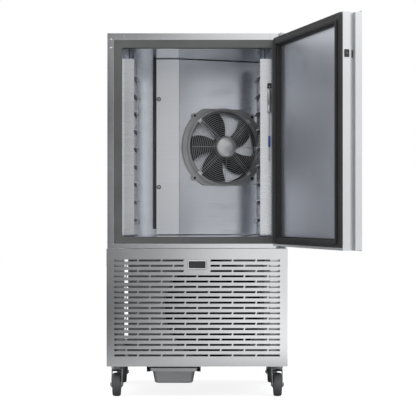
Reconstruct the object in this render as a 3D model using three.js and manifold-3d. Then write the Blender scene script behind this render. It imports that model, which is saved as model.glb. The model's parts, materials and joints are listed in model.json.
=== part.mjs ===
// Reach-in blast chiller on casters, door standing open.
// Millimetres. +Z is up, +X is to the viewer's right, +Y runs from the front to the back.
// Everything is laid out from the front plane of the insulated cabinet (y = 0), the middle
// of its width (x = 0) and the floor (z = 0). The door is drawn shut and then swung open.

import * as THREE from 'three';
import { mergeVertices } from 'three/addons/utils/BufferGeometryUtils.js';
import Module from 'manifold-3d';

const wasm = await Module();
wasm.setup();

// ---------------------------------------------------------------- driving dimensions
const WIDTH = 760;
const HALF = WIDTH / 2;
const DEPTH = 645;
const TOP = 1540;
const UNDERSIDE = 135;
const DECK = 630;                 // where the insulated cabinet stands on the machine bay
const SHEET = 1.2;
const GAP = 0.3;                  // clearance between pieces that touch

const CHAMBER_HALF = 318;
const CHAMBER_FLOOR = 678.5;
const CHAMBER_TOP = 1478.5;
const CHAMBER_BACK = 590;
const THROAT_DEPTH = 38;
const LINER_CORNER = 3.4;

const FRAME_HALF = 352.4;         // outline of the plastic breaker frame
const FRAME_BOTTOM = 649.4;
const FRAME_TOP = 1511.3;

const RACK_FRONT = 57;
const RACK_BACK = 410;
const RACK_PLANE = 270;
const RACK_BOTTOM = 687;
const RACK_TOP = 1438;
const LEVELS = 9;
const LEVEL_PITCH = 76.2;
const TOP_LEVEL = 1366;
const LEDGE_REACH = 13;
const SLOT_HEIGHT = 15;
const SLOT_FRONT = 82;
const SLOT_BACK = 340;

const COVER_FRONT = 385;          // flat part of the evaporator cover
const COVER_LEFT = -183.8;
const COVER_FOLD = -80;
const COVER_BOTTOM = 684;
const COVER_TOP = 1475;
const COVER_ANGLE = THREE.MathUtils.degToRad(21);

const FAN_ALONG = 211;            // fan centre, measured along the angled panel
const FAN_HEIGHT = 1080.6;
const FAN_PLATE = 200;
const FAN_FLAT = 175;
const FAN_LUG = 141;
const NOZZLE = 163;
const FAN_BLADES = 5;

const GRILLE_FRONT = -48;
const GRILLE_TOP = 629;
const SLOT_ROWS = 19;
const ROW_PITCH = 22.1;
const TOP_ROW = 580;
const SLOT_BAND = 346.8;
const SLOTS_PER_ROW = 7;
const BRIDGE = 6.3;
const GRILLE_SLOT = 6.8;
const BADGE = { halfWidth: 39.4, middle: 562, halfHeight: 19.2, clear: 56.5 };

const DOOR_BOTTOM = 640;
const DOOR_TOP = 1515;
const DOOR_INNER = -12;
const DOOR_OUTER = -88;
const DOOR_RING = { face: -8, half: 374, bottom: 650, top: 1514.5 };
const DOOR_MOUTH = { half: 316, bottom: 678, top: 1478 };
const DOOR_PANEL = -23;
const OPEN_ANGLE = THREE.MathUtils.degToRad(106);
const HINGE = { x: 353.8, y: -37.3 };

const CONDENSER_FAN = { x: 70, y: 78, z: 370, shroudY: 60, hole: 210, blade: 204 };

const CASTER_X = 342;
const CASTER_FRONT = 71;
const CASTER_REAR = 522;
const TRAIL = 33;
const WHEEL_RADIUS = 50;
const WHEEL_HALF = 17;

const TRAY = { left: -204.4, right: 7.6, front: -30, back: 230, rim: 127.7, lip: 113, bottom: 60 };

// ---------------------------------------------------------------- materials
const finish = (color, roughness, metalness) =>
  new THREE.MeshStandardMaterial({ color, roughness, metalness });
const brushedSteel = finish(0xb9bbbd, 0.36, 1);
const linerSteel = finish(0x9ea4ae, 0.3, 1);
const zincSteel = finish(0x8d9094, 0.45, 1);
const breakerPlastic = finish(0x57595a, 0.55, 0);
const doorPlastic = finish(0x3a3b3c, 0.5, 0);
const rubberBlack = finish(0x18191a, 0.7, 0);
const foamCream = finish(0xe7dcb4, 0.95, 0);
const fanGrey = finish(0x85878a, 0.5, 0.2);
const fanBlack = finish(0x1d1e20, 0.55, 0);
const wireGrey = finish(0x6c6e70, 0.4, 0.8);
const motorSilver = finish(0xa5a6a6, 0.4, 0.7);
const finAluminium = finish(0xb4b8bb, 0.4, 1);
const machineBlack = finish(0x222325, 0.5, 0.1);
const copper = finish(0xb87348, 0.35, 1);
const blackGlass = finish(0x08090b, 0.08, 0);
const probeBlue = finish(0x2b4fb5, 0.5, 0);
const tyreGrey = finish(0x55585b, 0.75, 0);

// ---------------------------------------------------------------- geometry helpers
function toManifold(geometry) {
  const bare = geometry.clone();
  bare.deleteAttribute('normal');
  bare.deleteAttribute('uv');
  const merged = mergeVertices(bare, 1e-4);
  return new wasm.Manifold(new wasm.Mesh({
    numProp: 3,
    vertProperties: new Float32Array(merged.attributes.position.array),
    triVerts: new Uint32Array(merged.index.array),
  }));
}

function fromManifold(solid) {
  const { vertProperties, triVerts } = solid.getMesh();
  const geometry = new THREE.BufferGeometry();
  geometry.setAttribute('position', new THREE.BufferAttribute(vertProperties, 3));
  geometry.setIndex(new THREE.BufferAttribute(triVerts, 1));
  geometry.computeVertexNormals();
  return geometry;
}

const join = (...pieces) => fromManifold(pieces.map(toManifold).reduce((sum, piece) => sum.add(piece)));

function cut(base, ...tools) {
  return fromManifold(tools.map(toManifold).reduce((left, tool) => left.subtract(tool), toManifold(base)));
}

function box(x0, x1, y0, y1, z0, z1) {
  return new THREE.BoxGeometry(x1 - x0, y1 - y0, z1 - z0)
    .translate((x0 + x1) / 2, (y0 + y1) / 2, (z0 + z1) / 2);
}

function polygon(points) {
  return new THREE.Shape(points.map(([x, y]) => new THREE.Vector2(x, y)));
}

function roundedRect(x0, y0, x1, y1, radius) {
  const shape = new THREE.Shape();
  shape.absarc(x1 - radius, y0 + radius, radius, -Math.PI / 2, 0);
  shape.absarc(x1 - radius, y1 - radius, radius, 0, Math.PI / 2);
  shape.absarc(x0 + radius, y1 - radius, radius, Math.PI / 2, Math.PI);
  shape.absarc(x0 + radius, y0 + radius, radius, Math.PI, Math.PI * 1.5);
  return shape;
}

/** A folded sheet seen on edge: a line of folds given a thickness on its left-hand side. */
function foldedSheet(points, thickness = SHEET) {
  const line = points.map(([x, y]) => new THREE.Vector2(x, y));
  const normals = line.slice(1).map((point, i) => {
    const along = point.clone().sub(line[i]).normalize();
    return new THREE.Vector2(-along.y, along.x);
  });
  const offset = line.map((point, i) => {
    const after = normals[Math.min(i, normals.length - 1)];
    const mitre = normals[Math.max(i - 1, 0)].clone().add(after).normalize();
    return point.clone().addScaledVector(mitre, thickness / mitre.dot(after));
  });
  return new THREE.Shape([...line, ...offset.reverse()]);
}

const extrude = (shape, depth, curveSegments = 1) =>
  new THREE.ExtrudeGeometry(shape, { depth, curveSegments, bevelEnabled: false });

/** A plan outline (x, y) raised from z0 to z1. */
const raised = (shape, z0, z1, segments) => extrude(shape, z1 - z0, segments).translate(0, 0, z0);

/** A front outline (x, z) pushed from y0 back to y1. */
const pushedBack = (shape, y0, y1, segments) =>
  extrude(shape, y1 - y0, segments).rotateX(Math.PI / 2).translate(0, y1, 0);

/** A side outline (y, z) drawn across from x0 to x1. */
const AXES_YZX = new THREE.Matrix4().makeBasis(
  new THREE.Vector3(0, 1, 0), new THREE.Vector3(0, 0, 1), new THREE.Vector3(1, 0, 0));
const across = (shape, x0, x1, segments) =>
  extrude(shape, x1 - x0, segments).applyMatrix4(AXES_YZX).translate(x0, 0, 0);

/** Upright turned piece: pairs of radius and height. */
const turned = (profile, sides = 24) =>
  new THREE.LatheGeometry(profile.map(([r, z]) => new THREE.Vector2(r, z)), sides).rotateX(Math.PI / 2);

/** A skin through closed loops of points, capped at both ends. A thin loop runs out along one face
 * and back along the other, and both faces are split along the same diagonals, so they stay apart. */
function loft(loops, thin = false) {
  const count = loops[0].length;
  const index = [];
  for (let ring = 0; ring + 1 < loops.length; ring++) {
    for (let i = 0; i < count; i++) {
      const a = ring * count + i;
      const b = ring * count + (i + 1) % count;
      const returning = thin && i >= count / 2;
      index.push(...(returning ? [a, b, a + count, b, b + count, a + count]
        : [a, b, b + count, a, b + count, a + count]));
    }
  }
  const last = (loops.length - 1) * count;
  const half = count / 2;
  for (let i = 0; i < (thin ? half - 1 : 0); i++) {
    const [a, b, c, d] = [i, i + 1, count - 2 - i, count - 1 - i];
    index.push(a, c, b, a, d, c, last + a, last + b, last + c, last + a, last + c, last + d);
  }
  for (let i = 1; i + 1 < (thin ? 0 : count); i++) {
    index.push(0, i + 1, i, last, last + i, last + i + 1);
  }
  const geometry = new THREE.BufferGeometry().setFromPoints(loops.flat());
  geometry.setIndex(index);
  geometry.computeVertexNormals();
  return geometry;
}

/** Round wire or pipe along a smooth line through the given points. */
function wire(points, radius, sides = 6, steps = 6) {
  const section = new THREE.Shape();
  section.absarc(0, 0, radius, 0, Math.PI * 2);
  const path = new THREE.CatmullRomCurve3(points.map((p) => new THREE.Vector3(...p)), false, 'centripetal');
  return new THREE.ExtrudeGeometry(section, { extrudePath: path, steps, curveSegments: sides });
}

const chiller = new THREE.Group();

function add(parent, name, geometry, material) {
  const mesh = new THREE.Mesh(geometry, material);
  mesh.name = name;
  parent.add(mesh);
  return mesh;
}

// ---------------------------------------------------------------- insulated cabinet
/** Outer steel shell, folded in at the front to a flange around the breaker frame. */
function outerCasing() {
  const shell = box(-HALF, HALF, 0, DEPTH, DECK, TOP);
  const inside = box(SHEET - HALF, HALF - SHEET, SHEET, DEPTH - SHEET, DECK + SHEET, TOP - SHEET);
  const mouth = box(-FRAME_HALF - GAP, FRAME_HALF + GAP, -1, 2 * SHEET,
    FRAME_BOTTOM - GAP, FRAME_TOP + GAP);
  return cut(shell, inside, mouth);
}

/** Foamed insulation between shell and liner. */
function insulationFoam() {
  const inset = SHEET + GAP;
  const block = box(inset - HALF, HALF - inset, 4 + GAP, DEPTH - inset, DECK + inset, TOP - inset);
  const throat = box(-CHAMBER_HALF - 3.5, CHAMBER_HALF + 3.5, 0, THROAT_DEPTH + 2 * GAP,
    CHAMBER_FLOOR - 3.5, CHAMBER_TOP + 3.5);
  const room = SHEET + GAP;
  const chamber = box(-CHAMBER_HALF - room, CHAMBER_HALF + room, THROAT_DEPTH, CHAMBER_BACK + room,
    CHAMBER_FLOOR - room, CHAMBER_TOP + room);
  return cut(block, throat, chamber);
}

/** Steel liner of the chamber with coved corners. */
function innerLiner() {
  const inner = roundedRect(-CHAMBER_HALF, CHAMBER_FLOOR, CHAMBER_HALF, CHAMBER_TOP, LINER_CORNER);
  const tube = roundedRect(-CHAMBER_HALF - SHEET, CHAMBER_FLOOR - SHEET,
    CHAMBER_HALF + SHEET, CHAMBER_TOP + SHEET, LINER_CORNER + SHEET);
  const closed = pushedBack(tube, THROAT_DEPTH + GAP, CHAMBER_BACK + SHEET);
  return cut(closed, pushedBack(inner, 0, CHAMBER_BACK));
}

/** Plastic frame that separates warm shell from cold liner: face plate and throat. */
function breakerFrame() {
  const face = roundedRect(-FRAME_HALF, FRAME_BOTTOM, FRAME_HALF, FRAME_TOP, 4);
  const lip = roundedRect(-CHAMBER_HALF - 3, CHAMBER_FLOOR - 3, CHAMBER_HALF + 3, CHAMBER_TOP + 3, 9);
  const mouth = roundedRect(-CHAMBER_HALF, CHAMBER_FLOOR, CHAMBER_HALF, CHAMBER_TOP, 8);
  return cut(
    join(pushedBack(face, 0, 4), pushedBack(lip, 3, THROAT_DEPTH)),
    pushedBack(mouth, -1, THROAT_DEPTH + 1));
}

/** Channel with lanced ledges: side = -1 on the left wall, +1 on the right. */
function trayRack(side) {
  const wall = CHAMBER_HALF - GAP;
  const channel = foldedSheet([
    [-wall, RACK_FRONT + 14], [-wall, RACK_FRONT], [-RACK_PLANE, RACK_FRONT],
    [-RACK_PLANE, RACK_BACK], [-wall, RACK_BACK], [-wall, RACK_BACK - 14],
  ]);
  const levels = Array.from({ length: LEVELS }, (_, i) => TOP_LEVEL - i * LEVEL_PITCH);
  const slots = levels.map((z) =>
    box(-RACK_PLANE - 3, -RACK_PLANE + 1, SLOT_FRONT, SLOT_BACK, z - SLOT_HEIGHT, z));
  const ledges = levels.map((z) => {
    const hem = foldedSheet([
      [-RACK_PLANE - SHEET / 2, z - 0.5], [-RACK_PLANE + LEDGE_REACH, z - 0.5],
      [-RACK_PLANE + LEDGE_REACH, z - 4],
    ]);
    return pushedBack(hem, SLOT_FRONT + 1, SLOT_BACK - 1);
  });
  const topFold = box(-RACK_PLANE - 14, -RACK_PLANE - 0.5, RACK_FRONT + 0.5, RACK_BACK - 0.5,
    RACK_TOP - 2 * SHEET, RACK_TOP - SHEET);
  const rack = join(cut(raised(channel, RACK_BOTTOM, RACK_TOP), ...slots), ...ledges, topFold);
  return side < 0 ? rack : mirrored(rack);
}

/** Mirror image across x = 0, with the faces turned to point out again. */
function mirrored(geometry) {
  const flipped = mergeVertices(geometry).scale(-1, 1, 1);
  const order = flipped.index.array;
  for (let i = 0; i < order.length; i += 3) {
    [order[i], order[i + 1]] = [order[i + 1], order[i]];
  }
  flipped.computeVertexNormals();
  return flipped;
}

/** Where the angled part of the evaporator cover is, at a distance along it from the fold. */
const onCover = (along) => new THREE.Vector2(
  COVER_FOLD + along * Math.cos(COVER_ANGLE), COVER_FRONT + along * Math.sin(COVER_ANGLE));

/** Folded sheet in front of the evaporator: flat on the left, angled behind the fan. */
function evaporatorCover() {
  const wall = CHAMBER_HALF - GAP;
  const wallDepth = COVER_FRONT + (wall - COVER_FOLD) * Math.tan(COVER_ANGLE);
  const folds = foldedSheet([
    [COVER_LEFT, COVER_FRONT + 22], [COVER_LEFT, COVER_FRONT], [COVER_FOLD, COVER_FRONT],
    [wall, wallDepth], [wall, wallDepth + 18],
  ]);
  const centre = onCover(FAN_ALONG);
  const bore = new THREE.CylinderGeometry(NOZZLE + 8, NOZZLE + 8, 60, 32)
    .rotateZ(COVER_ANGLE)
    .translate(centre.x, centre.y, FAN_HEIGHT);
  return cut(raised(folds, COVER_BOTTOM, COVER_TOP), bore);
}

const COIL_LEFT = -199;

/** Galvanised plate that carries the left end of the coil; its front edge shows beside the cover. */
function coilEndPlate() {
  const angle = foldedSheet([[COVER_LEFT - GAP, 391], [COIL_LEFT, 391], [COIL_LEFT, CHAMBER_BACK - GAP]], 1.5);
  return raised(angle, 708, COVER_TOP);
}

/** Plan outline of a fin pack: teeth front and back of a core that stands in for the tubes. */
function finPack(x0, fins, pitch, fin, y0, y1, core) {
  const front = [];
  const back = [];
  const middle = (y0 + y1) / 2;
  for (let i = 0; i < fins; i++) {
    const x = x0 + i * pitch;
    front.push([x, y0], [x + fin, y0]);
    back.push([x, y1], [x + fin, y1]);
    if (i < fins - 1) {
      front.push([x + fin, middle - core], [x + pitch, middle - core]);
      back.push([x + fin, middle + core], [x + pitch, middle + core]);
    }
  }
  return polygon([...front, ...back.reverse()]);
}

/** Evaporator: upright fins, with the return bends of its tubes on top. */
function evaporatorCoil() {
  const pack = raised(finPack(COIL_LEFT + GAP, 12, 11.4, 3, 420, 575, 20), 720, 1434);
  const bends = [-180, -120].map((x) => wire([
    [x, 497, 1430], [x, 497, 1446], [x + 20, 497, 1456], [x + 40, 497, 1446], [x + 40, 497, 1430],
  ], 5, 3, 6));
  return join(pack, ...bends);
}

// ---------------------------------------------------------------- evaporator fan
// The fan's own frame: z out of the angled panel, y up, x along the panel.
function fanFrame() {
  const outline = new THREE.Shape();
  const flatAngle = Math.asin(FAN_FLAT / FAN_PLATE);
  outline.absarc(0, 0, FAN_PLATE, -flatAngle, flatAngle);
  outline.absarc(0, 0, FAN_PLATE, Math.PI - flatAngle, Math.PI + flatAngle);
  const lugs = [45, 135, 225, 315].map((degrees) => {
    const lug = roundedRect(110, -13, Math.SQRT2 * FAN_LUG + 13, 13, 12.5);
    return extrude(lug, 7, 2).rotateZ(THREE.MathUtils.degToRad(degrees));
  });
  const nozzle = turned([
    [NOZZLE + 5, -28], [NOZZLE + 5, 12], [NOZZLE + 16, 18], [NOZZLE + 13, 23],
    [NOZZLE, 14], [NOZZLE, -28], [NOZZLE + 5, -28],
  ], 32);
  const plate = cut(
    join(extrude(outline, 11, 7), ...lugs),
    new THREE.CylinderGeometry(NOZZLE + 3, NOZZLE + 3, 60, 32).rotateX(Math.PI / 2));
  return join(plate, nozzle).translate(0, 0, GAP);
}

const HUB_CAP = 49.5;

/** Height of the guard's dome above the panel at a radius. */
const dome = (radius) => 30 + 22 * Math.cos((radius / NOZZLE) * Math.PI / 2);

/** Domed wire guard: rings in front, radial wires and feet welded behind them. */
function fanGuard() {
  const gauge = 1.6;
  const outer = NOZZLE - 2;
  const inner = HUB_CAP + GAP + gauge;
  const rings = 7;
  const behind = 2 * gauge - 0.5;
  const pieces = [];
  for (let i = 0; i < rings; i++) {
    const radius = outer - i * (outer - inner) / (rings - 1);
    pieces.push(new THREE.TorusGeometry(radius, gauge, 4, 20).translate(0, 0, dome(radius)));
  }
  const weld = (radius) => dome(radius) - behind;
  const radial = wire(
    [[0, inner, weld(inner)], [0, 90, weld(90)], [0, 130, weld(130)], [0, outer + 2, weld(outer + 2)]],
    gauge, 2, 3);
  const foot = wire(
    [[0, outer - 4, weld(outer)], [0, outer + 6, weld(outer) - 1], [0, outer + 8, 23.3 + 2 * GAP]],
    gauge, 2, 2);
  for (let turn = 0; turn < 4; turn++) {
    pieces.push(radial.clone().rotateZ(turn * Math.PI / 2));
    for (const x of [-6, 6]) {
      pieces.push(radial.clone().translate(x, 0, 0).rotateZ((turn + 0.5) * Math.PI / 2));
      pieces.push(foot.clone().translate(x, 0, 0).rotateZ((turn + 0.5) * Math.PI / 2));
    }
  }
  return join(...pieces);
}

/** One swept, twisted blade between the hub and a tip radius, its sections run from the tip inwards. */
function blade(hub, tip, chord, pitchAtHub, pitchAtTip, sweep) {
  const stations = 4;
  const loops = [];
  for (let i = 0; i < stations; i++) {
    const t = i / (stations - 1);
    const radius = hub + (tip - hub) * t;
    const pitch = THREE.MathUtils.degToRad(pitchAtHub + (pitchAtTip - pitchAtHub) * t);
    const lean = THREE.MathUtils.degToRad(sweep) * t * t;
    const width = chord * (0.52 + 0.58 * t);
    const side = [-1, 0, 1].map((s) => [s * width / 2, 6 * (1 - s * s)]);
    const section = [...side.map(([c, h]) => [c, h + 1.5]), ...side.reverse().map(([c, h]) => [c, h - 1.5])];
    loops.push(section.map(([c, h]) => {
      const around = (c * Math.cos(pitch) - h * Math.sin(pitch)) / radius + lean;
      const height = c * Math.sin(pitch) + h * Math.cos(pitch);
      return new THREE.Vector3(radius * Math.cos(around), radius * Math.sin(around), height);
    }));
  }
  return loft(loops.reverse(), true);
}

function fanRotor(hubRadius, tip, chord, depth) {
  const hub = turned([[0, -depth], [hubRadius, -depth], [hubRadius, 0], [0, 0]], 20);
  const blades = Array.from({ length: FAN_BLADES }, (_, i) =>
    blade(hubRadius - 5, tip, chord, 36, 22, 16)
      .translate(0, 0, -depth / 2)
      .rotateZ((i * 2 * Math.PI) / FAN_BLADES));
  return join(hub, ...blades);
}

function fanMotor() {
  return turned([
    [0, 9], [46, 9], [HUB_CAP, 13], [HUB_CAP, 40], [46, 52], [30, 61], [0, 65],
  ], 20);
}

// ---------------------------------------------------------------- probe
const PROBE = { x: 308.3, y: 45, top: 1306, handle: 1206, sleeveTop: 1108, sleeveBottom: 1061, tip: 997 };

function temperatureProbe() {
  return turned([
    [0, PROBE.tip], [1.4, PROBE.tip + 8], [2, PROBE.tip + 20], [2, PROBE.handle - 4], [5.5, PROBE.handle],
    [8.6, PROBE.handle + 5], [8.6, PROBE.top - 8], [6.5, PROBE.top], [2.6, PROBE.top + 2],
    [2.6, PROBE.top + 8.4], [6, PROBE.top + 8.6], [5, PROBE.top + 14], [0, PROBE.top + 16],
  ], 10).translate(PROBE.x, PROBE.y, 0);
}

function probeSleeve() {
  return turned([
    [2.3, PROBE.sleeveBottom], [4.6, PROBE.sleeveBottom], [4.6, PROBE.sleeveTop],
    [2.3, PROBE.sleeveTop], [2.3, PROBE.sleeveBottom],
  ], 12).translate(PROBE.x, PROBE.y, 0);
}

/** Holder screwed to the rack flange; the probe's neck hangs in its fork. */
function probeClip() {
  const profile = foldedSheet([
    [RACK_FRONT - GAP, 1334], [RACK_FRONT - GAP - 3, 1334], [RACK_FRONT - GAP - 3, 1314],
    [PROBE.y - 9, 1314], [PROBE.y - 9, 1322],
  ], 2.4);
  return cut(
    across(profile, PROBE.x - 8, PROBE.x + 8),
    box(PROBE.x - 3.2, PROBE.x + 3.2, PROBE.y - 14, PROBE.y + 3.5, 1305, 1326));
}

// ---------------------------------------------------------------- door, drawn shut
const doorFoldLine = [
  [-320, DOOR_INNER], [-HALF, DOOR_INNER], [-HALF, -42], [-358, -44], [-358, -59.5],
  [-HALF, -61.5], [-HALF, DOOR_OUTER], [HALF, DOOR_OUTER], [HALF, DOOR_INNER], [320, DOOR_INNER],
];
const DOOR_POCKET = { half: 320, bottom: 674, top: 1482 };

/** Outer skin: front, folded sides with a grip channel down the free edge, top and bottom. */
function doorSkin() {
  const walls = raised(foldedSheet(doorFoldLine), DOOR_BOTTOM, DOOR_TOP);
  const cap = polygon(doorFoldLine);
  const { half, bottom, top } = DOOR_POCKET;
  const ledge = (z0, z1) => box(-half - 1, half + 1, DOOR_INNER - SHEET, DOOR_INNER, z0, z1);
  const facing = box(-HALF, HALF, DOOR_OUTER, DOOR_OUTER + SHEET, DOOR_BOTTOM - 2, DOOR_TOP + 6);
  return join(walls, facing,
    raised(cap, DOOR_BOTTOM, DOOR_BOTTOM + SHEET), raised(cap, DOOR_TOP - SHEET, DOOR_TOP),
    ledge(DOOR_BOTTOM, bottom), ledge(top, DOOR_TOP));
}

function doorFoam() {
  const inset = SHEET + GAP;
  const fill = raised(polygon([
    [inset - HALF, DOOR_INNER - inset], [inset - HALF, -40.3], [inset - 358, -42.3],
    [inset - 358, -61.2], [inset - HALF, -63.2], [inset - HALF, DOOR_OUTER + inset],
    [HALF - inset, DOOR_OUTER + inset], [HALF - inset, DOOR_INNER - inset],
  ]), DOOR_BOTTOM + inset, DOOR_TOP - inset);
  const { half, bottom, top } = DOOR_POCKET;
  return cut(fill, box(-half, half, DOOR_PANEL - 5, 0, bottom, top));
}

function doorInnerPanel() {
  const { half, bottom, top } = DOOR_MOUTH;
  const sheet = roundedRect(GAP - half, bottom + GAP, half - GAP, top - GAP, 4.7);
  return pushedBack(sheet, DOOR_PANEL - SHEET, DOOR_PANEL);
}

const GASKET = { half: 331, bottom: 668, top: 1488, width: 17, root: 6 };

/** A rectangular ring on the gasket's line, of the given width. */
function gasketRing(width, y0, y1) {
  const { half, bottom, top } = GASKET;
  const edge = (grow) => roundedRect(
    -half - grow, bottom - grow, half + grow, top + grow, 10 + grow);
  return cut(pushedBack(edge(width / 2), y0, y1), pushedBack(edge(-width / 2), y0 - 1, y1 + 1));
}

/** Dark plastic ring: face plate with a groove for the gasket, and a wall down to the panel. */
function doorRing() {
  const { face, half, bottom, top } = DOOR_RING;
  const outer = roundedRect(-half, bottom, half, top, 11);
  const { half: inside, bottom: sill, top: head } = DOOR_MOUTH;
  const mouth = roundedRect(-inside, sill, inside, head, 5);
  const wall = roundedRect(-inside - 3, sill - 3, inside + 3, head + 3, 8);
  const ring = cut(
    join(pushedBack(outer, DOOR_INNER + GAP, face), pushedBack(wall, DOOR_PANEL - 4, face - 1)),
    pushedBack(mouth, DOOR_PANEL - 10, 0));
  return cut(ring, gasketRing(GASKET.root + 2 * GAP, face - 1.6, face + 1));
}

/** Magnetic bulb gasket seated in the ring's groove. */
function doorGasket() {
  const root = gasketRing(GASKET.root, DOOR_RING.face - 1.6 + GAP, DOOR_RING.face + 1);
  const bulb = gasketRing(GASKET.width, DOOR_RING.face + GAP, -2.2);
  const crown = gasketRing(GASKET.width - 6, -2.4, -0.6);
  return join(root, bulb, crown);
}

/** Capped service port in the free edge. */
function edgePort() {
  const rim = pushedBack(roundedRect(-9.6, -14.2, 9.6, 14.2, 2), 0, 1.6);
  const cap = pushedBack(roundedRect(-4, -6, 4, 6, 1.5), -1.2, 0.2);
  return join(rim, cap).rotateZ(-Math.PI / 2).translate(-HALF - 1.6 - GAP, -27.5, 1362);
}

/** Touch panel, flush glass on the outside of the door. */
function controlPanel() {
  const glass = roundedRect(-330, 1300, -130, 1420, 8);
  return pushedBack(glass, DOOR_OUTER - 3, DOOR_OUTER - GAP, 2);
}

const BUSH = { radius: 11, bore: 6.4, length: 5 };

/** Plastic bush that the door turns on, standing from z upwards. */
function hingeBush(z) {
  return turned([
    [BUSH.bore, z], [BUSH.radius, z], [BUSH.radius, z + BUSH.length],
    [BUSH.bore, z + BUSH.length], [BUSH.bore, z],
  ], 16).translate(HINGE.x, HINGE.y, 0);
}

// ---------------------------------------------------------------- hinge brackets on the cabinet
/** Upper bracket: angle screwed to the front flange, with a headed pin down into the bush. */
function upperHinge() {
  const shelf = DOOR_TOP + 8;
  const plan = roundedRect(HINGE.x - 10, HINGE.y - 10, HINGE.x + 22, -GAP, 4);
  const plate = raised(plan, shelf, shelf + 3);
  const leg = box(HINGE.x - 10, HINGE.x + 22, -3, -GAP, shelf, TOP - 1);
  const pin = turned([
    [0, DOOR_TOP + 1.5], [6, DOOR_TOP + 2.5], [6, shelf + 9], [4.5, shelf + 14], [0, shelf + 15],
  ], 16).translate(HINGE.x, HINGE.y, 0);
  return join(plate, leg, pin);
}

/** Lower bracket: angle screwed to the front flange with a pin up into the bush. */
function lowerHinge() {
  const plan = roundedRect(HINGE.x - 18, HINGE.y - 8, HINGE.x + 18, -GAP, 3);
  const plate = raised(plan, DECK + 0.2, DECK + 4);
  const leg = box(HINGE.x - 18, HINGE.x + 18, -3, -GAP, DECK + 0.2, DOOR_BOTTOM - 1);
  const pin = turned([[0, DECK + 3], [6, DECK + 3], [6, DOOR_BOTTOM - 1.6], [0, DOOR_BOTTOM - 0.8]], 16)
    .translate(HINGE.x, HINGE.y, 0);
  return join(plate, leg, pin);
}

// ---------------------------------------------------------------- machine bay
/** Start and end of each slot in a row: bricks that shift by half a slot from row to row. */
function slotSpans(row) {
  const pitch = (2 * SLOT_BAND) / SLOTS_PER_ROW;
  const bridges = [];
  for (let x = (row % 2 ? pitch / 2 : pitch) - SLOT_BAND; x < SLOT_BAND - 1; x += pitch) {
    bridges.push(x);
  }
  const starts = [-SLOT_BAND, ...bridges.map((x) => x + BRIDGE / 2)];
  const ends = [...bridges.map((x) => x - BRIDGE / 2), SLOT_BAND];
  const spans = starts.map((x0, i) => [x0, ends[i]]);
  if (row > 2) {
    return spans;
  }
  const left = spans.filter(([x0]) => x0 < -BADGE.clear)
    .map(([x0, x1]) => [x0, Math.min(x1, -BADGE.clear)]);
  return [...left, ...left.map(([x0, x1]) => [-x1, -x0])];
}

/** Cutter for one slot; ends that meet a bridge lean like a slash. */
function slotCutter([x0, x1], z) {
  const rise = GRILLE_SLOT / 2;
  const lean = 1.6;
  const l = x0 > 1 - SLOT_BAND ? lean : 0;
  const r = x1 < SLOT_BAND - 1 ? lean : 0;
  return pushedBack(polygon([
    [x0 - l, z - rise], [x1 - r, z - rise], [x1 + r, z + rise], [x0 + l, z + rise],
  ]), GRILLE_FRONT - 1, GRILLE_FRONT + 4);
}

/** Slotted front panel of the machine bay, a pan with its edges folded back. */
function frontGrille() {
  const outside = box(-HALF, HALF, GRILLE_FRONT, -GAP, UNDERSIDE, GRILLE_TOP);
  const inside = box(SHEET - HALF, HALF - SHEET, GRILLE_FRONT + SHEET, 1,
    UNDERSIDE + SHEET, GRILLE_TOP - SHEET);
  const slots = [];
  for (let row = 0; row < SLOT_ROWS; row++) {
    slots.push(...slotSpans(row).map((span) => slotCutter(span, TOP_ROW - row * ROW_PITCH)));
  }
  return cut(outside, inside, ...slots);
}

/** Blank badge at the top of the grille: a plate sunk in its raised surround. */
function badgePlate() {
  const { halfWidth, middle, halfHeight } = BADGE;
  const around = (inset, radius) => roundedRect(inset - halfWidth, middle - halfHeight + inset,
    halfWidth - inset, middle + halfHeight - inset, radius);
  const back = GRILLE_FRONT - GAP;
  return cut(pushedBack(around(0, 7), back - 3, back), pushedBack(around(3, 5), back - 4, back - 1.6));
}

function basePan() {
  const edge = HALF - SHEET - GAP - 0.5;
  const pan = box(-edge, edge, 1, DEPTH - 2.5, UNDERSIDE, UNDERSIDE + 32);
  return cut(pan, box(-edge + 2, edge - 2, 3, DEPTH - 4.5, UNDERSIDE + 2, UNDERSIDE + 40));
}

/** Side panel with a deep front return, side = -1 left, +1 right. */
function sidePanel(side) {
  const folds = foldedSheet([
    [-355, DEPTH], [-HALF, DEPTH], [-HALF, GAP], [-308, GAP], [-308, 20],
  ]);
  const wall = box(-HALF, SHEET - HALF, GAP, DEPTH, UNDERSIDE, UNDERSIDE + 34);
  const panel = join(raised(folds, UNDERSIDE + 33, DECK - GAP), wall);
  return side < 0 ? panel : mirrored(panel);
}

/** Rear cover with louvre slots in the middle and an upright row of vents at each side. */
function rearPanel() {
  const half = 372;
  const back = DEPTH - SHEET - GAP;
  const sheet = box(-half, half, back - SHEET, back, 170, DECK - 2);
  const vent = (x0, x1, z0, z1) => box(x0, x1, back - 2 * SHEET, back + SHEET, z0, z1);
  const vents = [];
  for (const side of [-1, 1]) {
    for (let z = 186; z < 600; z += 84) {
      vents.push(vent(side * 332 - 14, side * 332 + 14, z, z + 78));
    }
  }
  for (let z = 230; z < 560; z += 54) {
    vents.push(vent(-240, -20, z, z + 9), vent(20, 240, z, z + 9));
  }
  return cut(sheet, ...vents);
}

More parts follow.
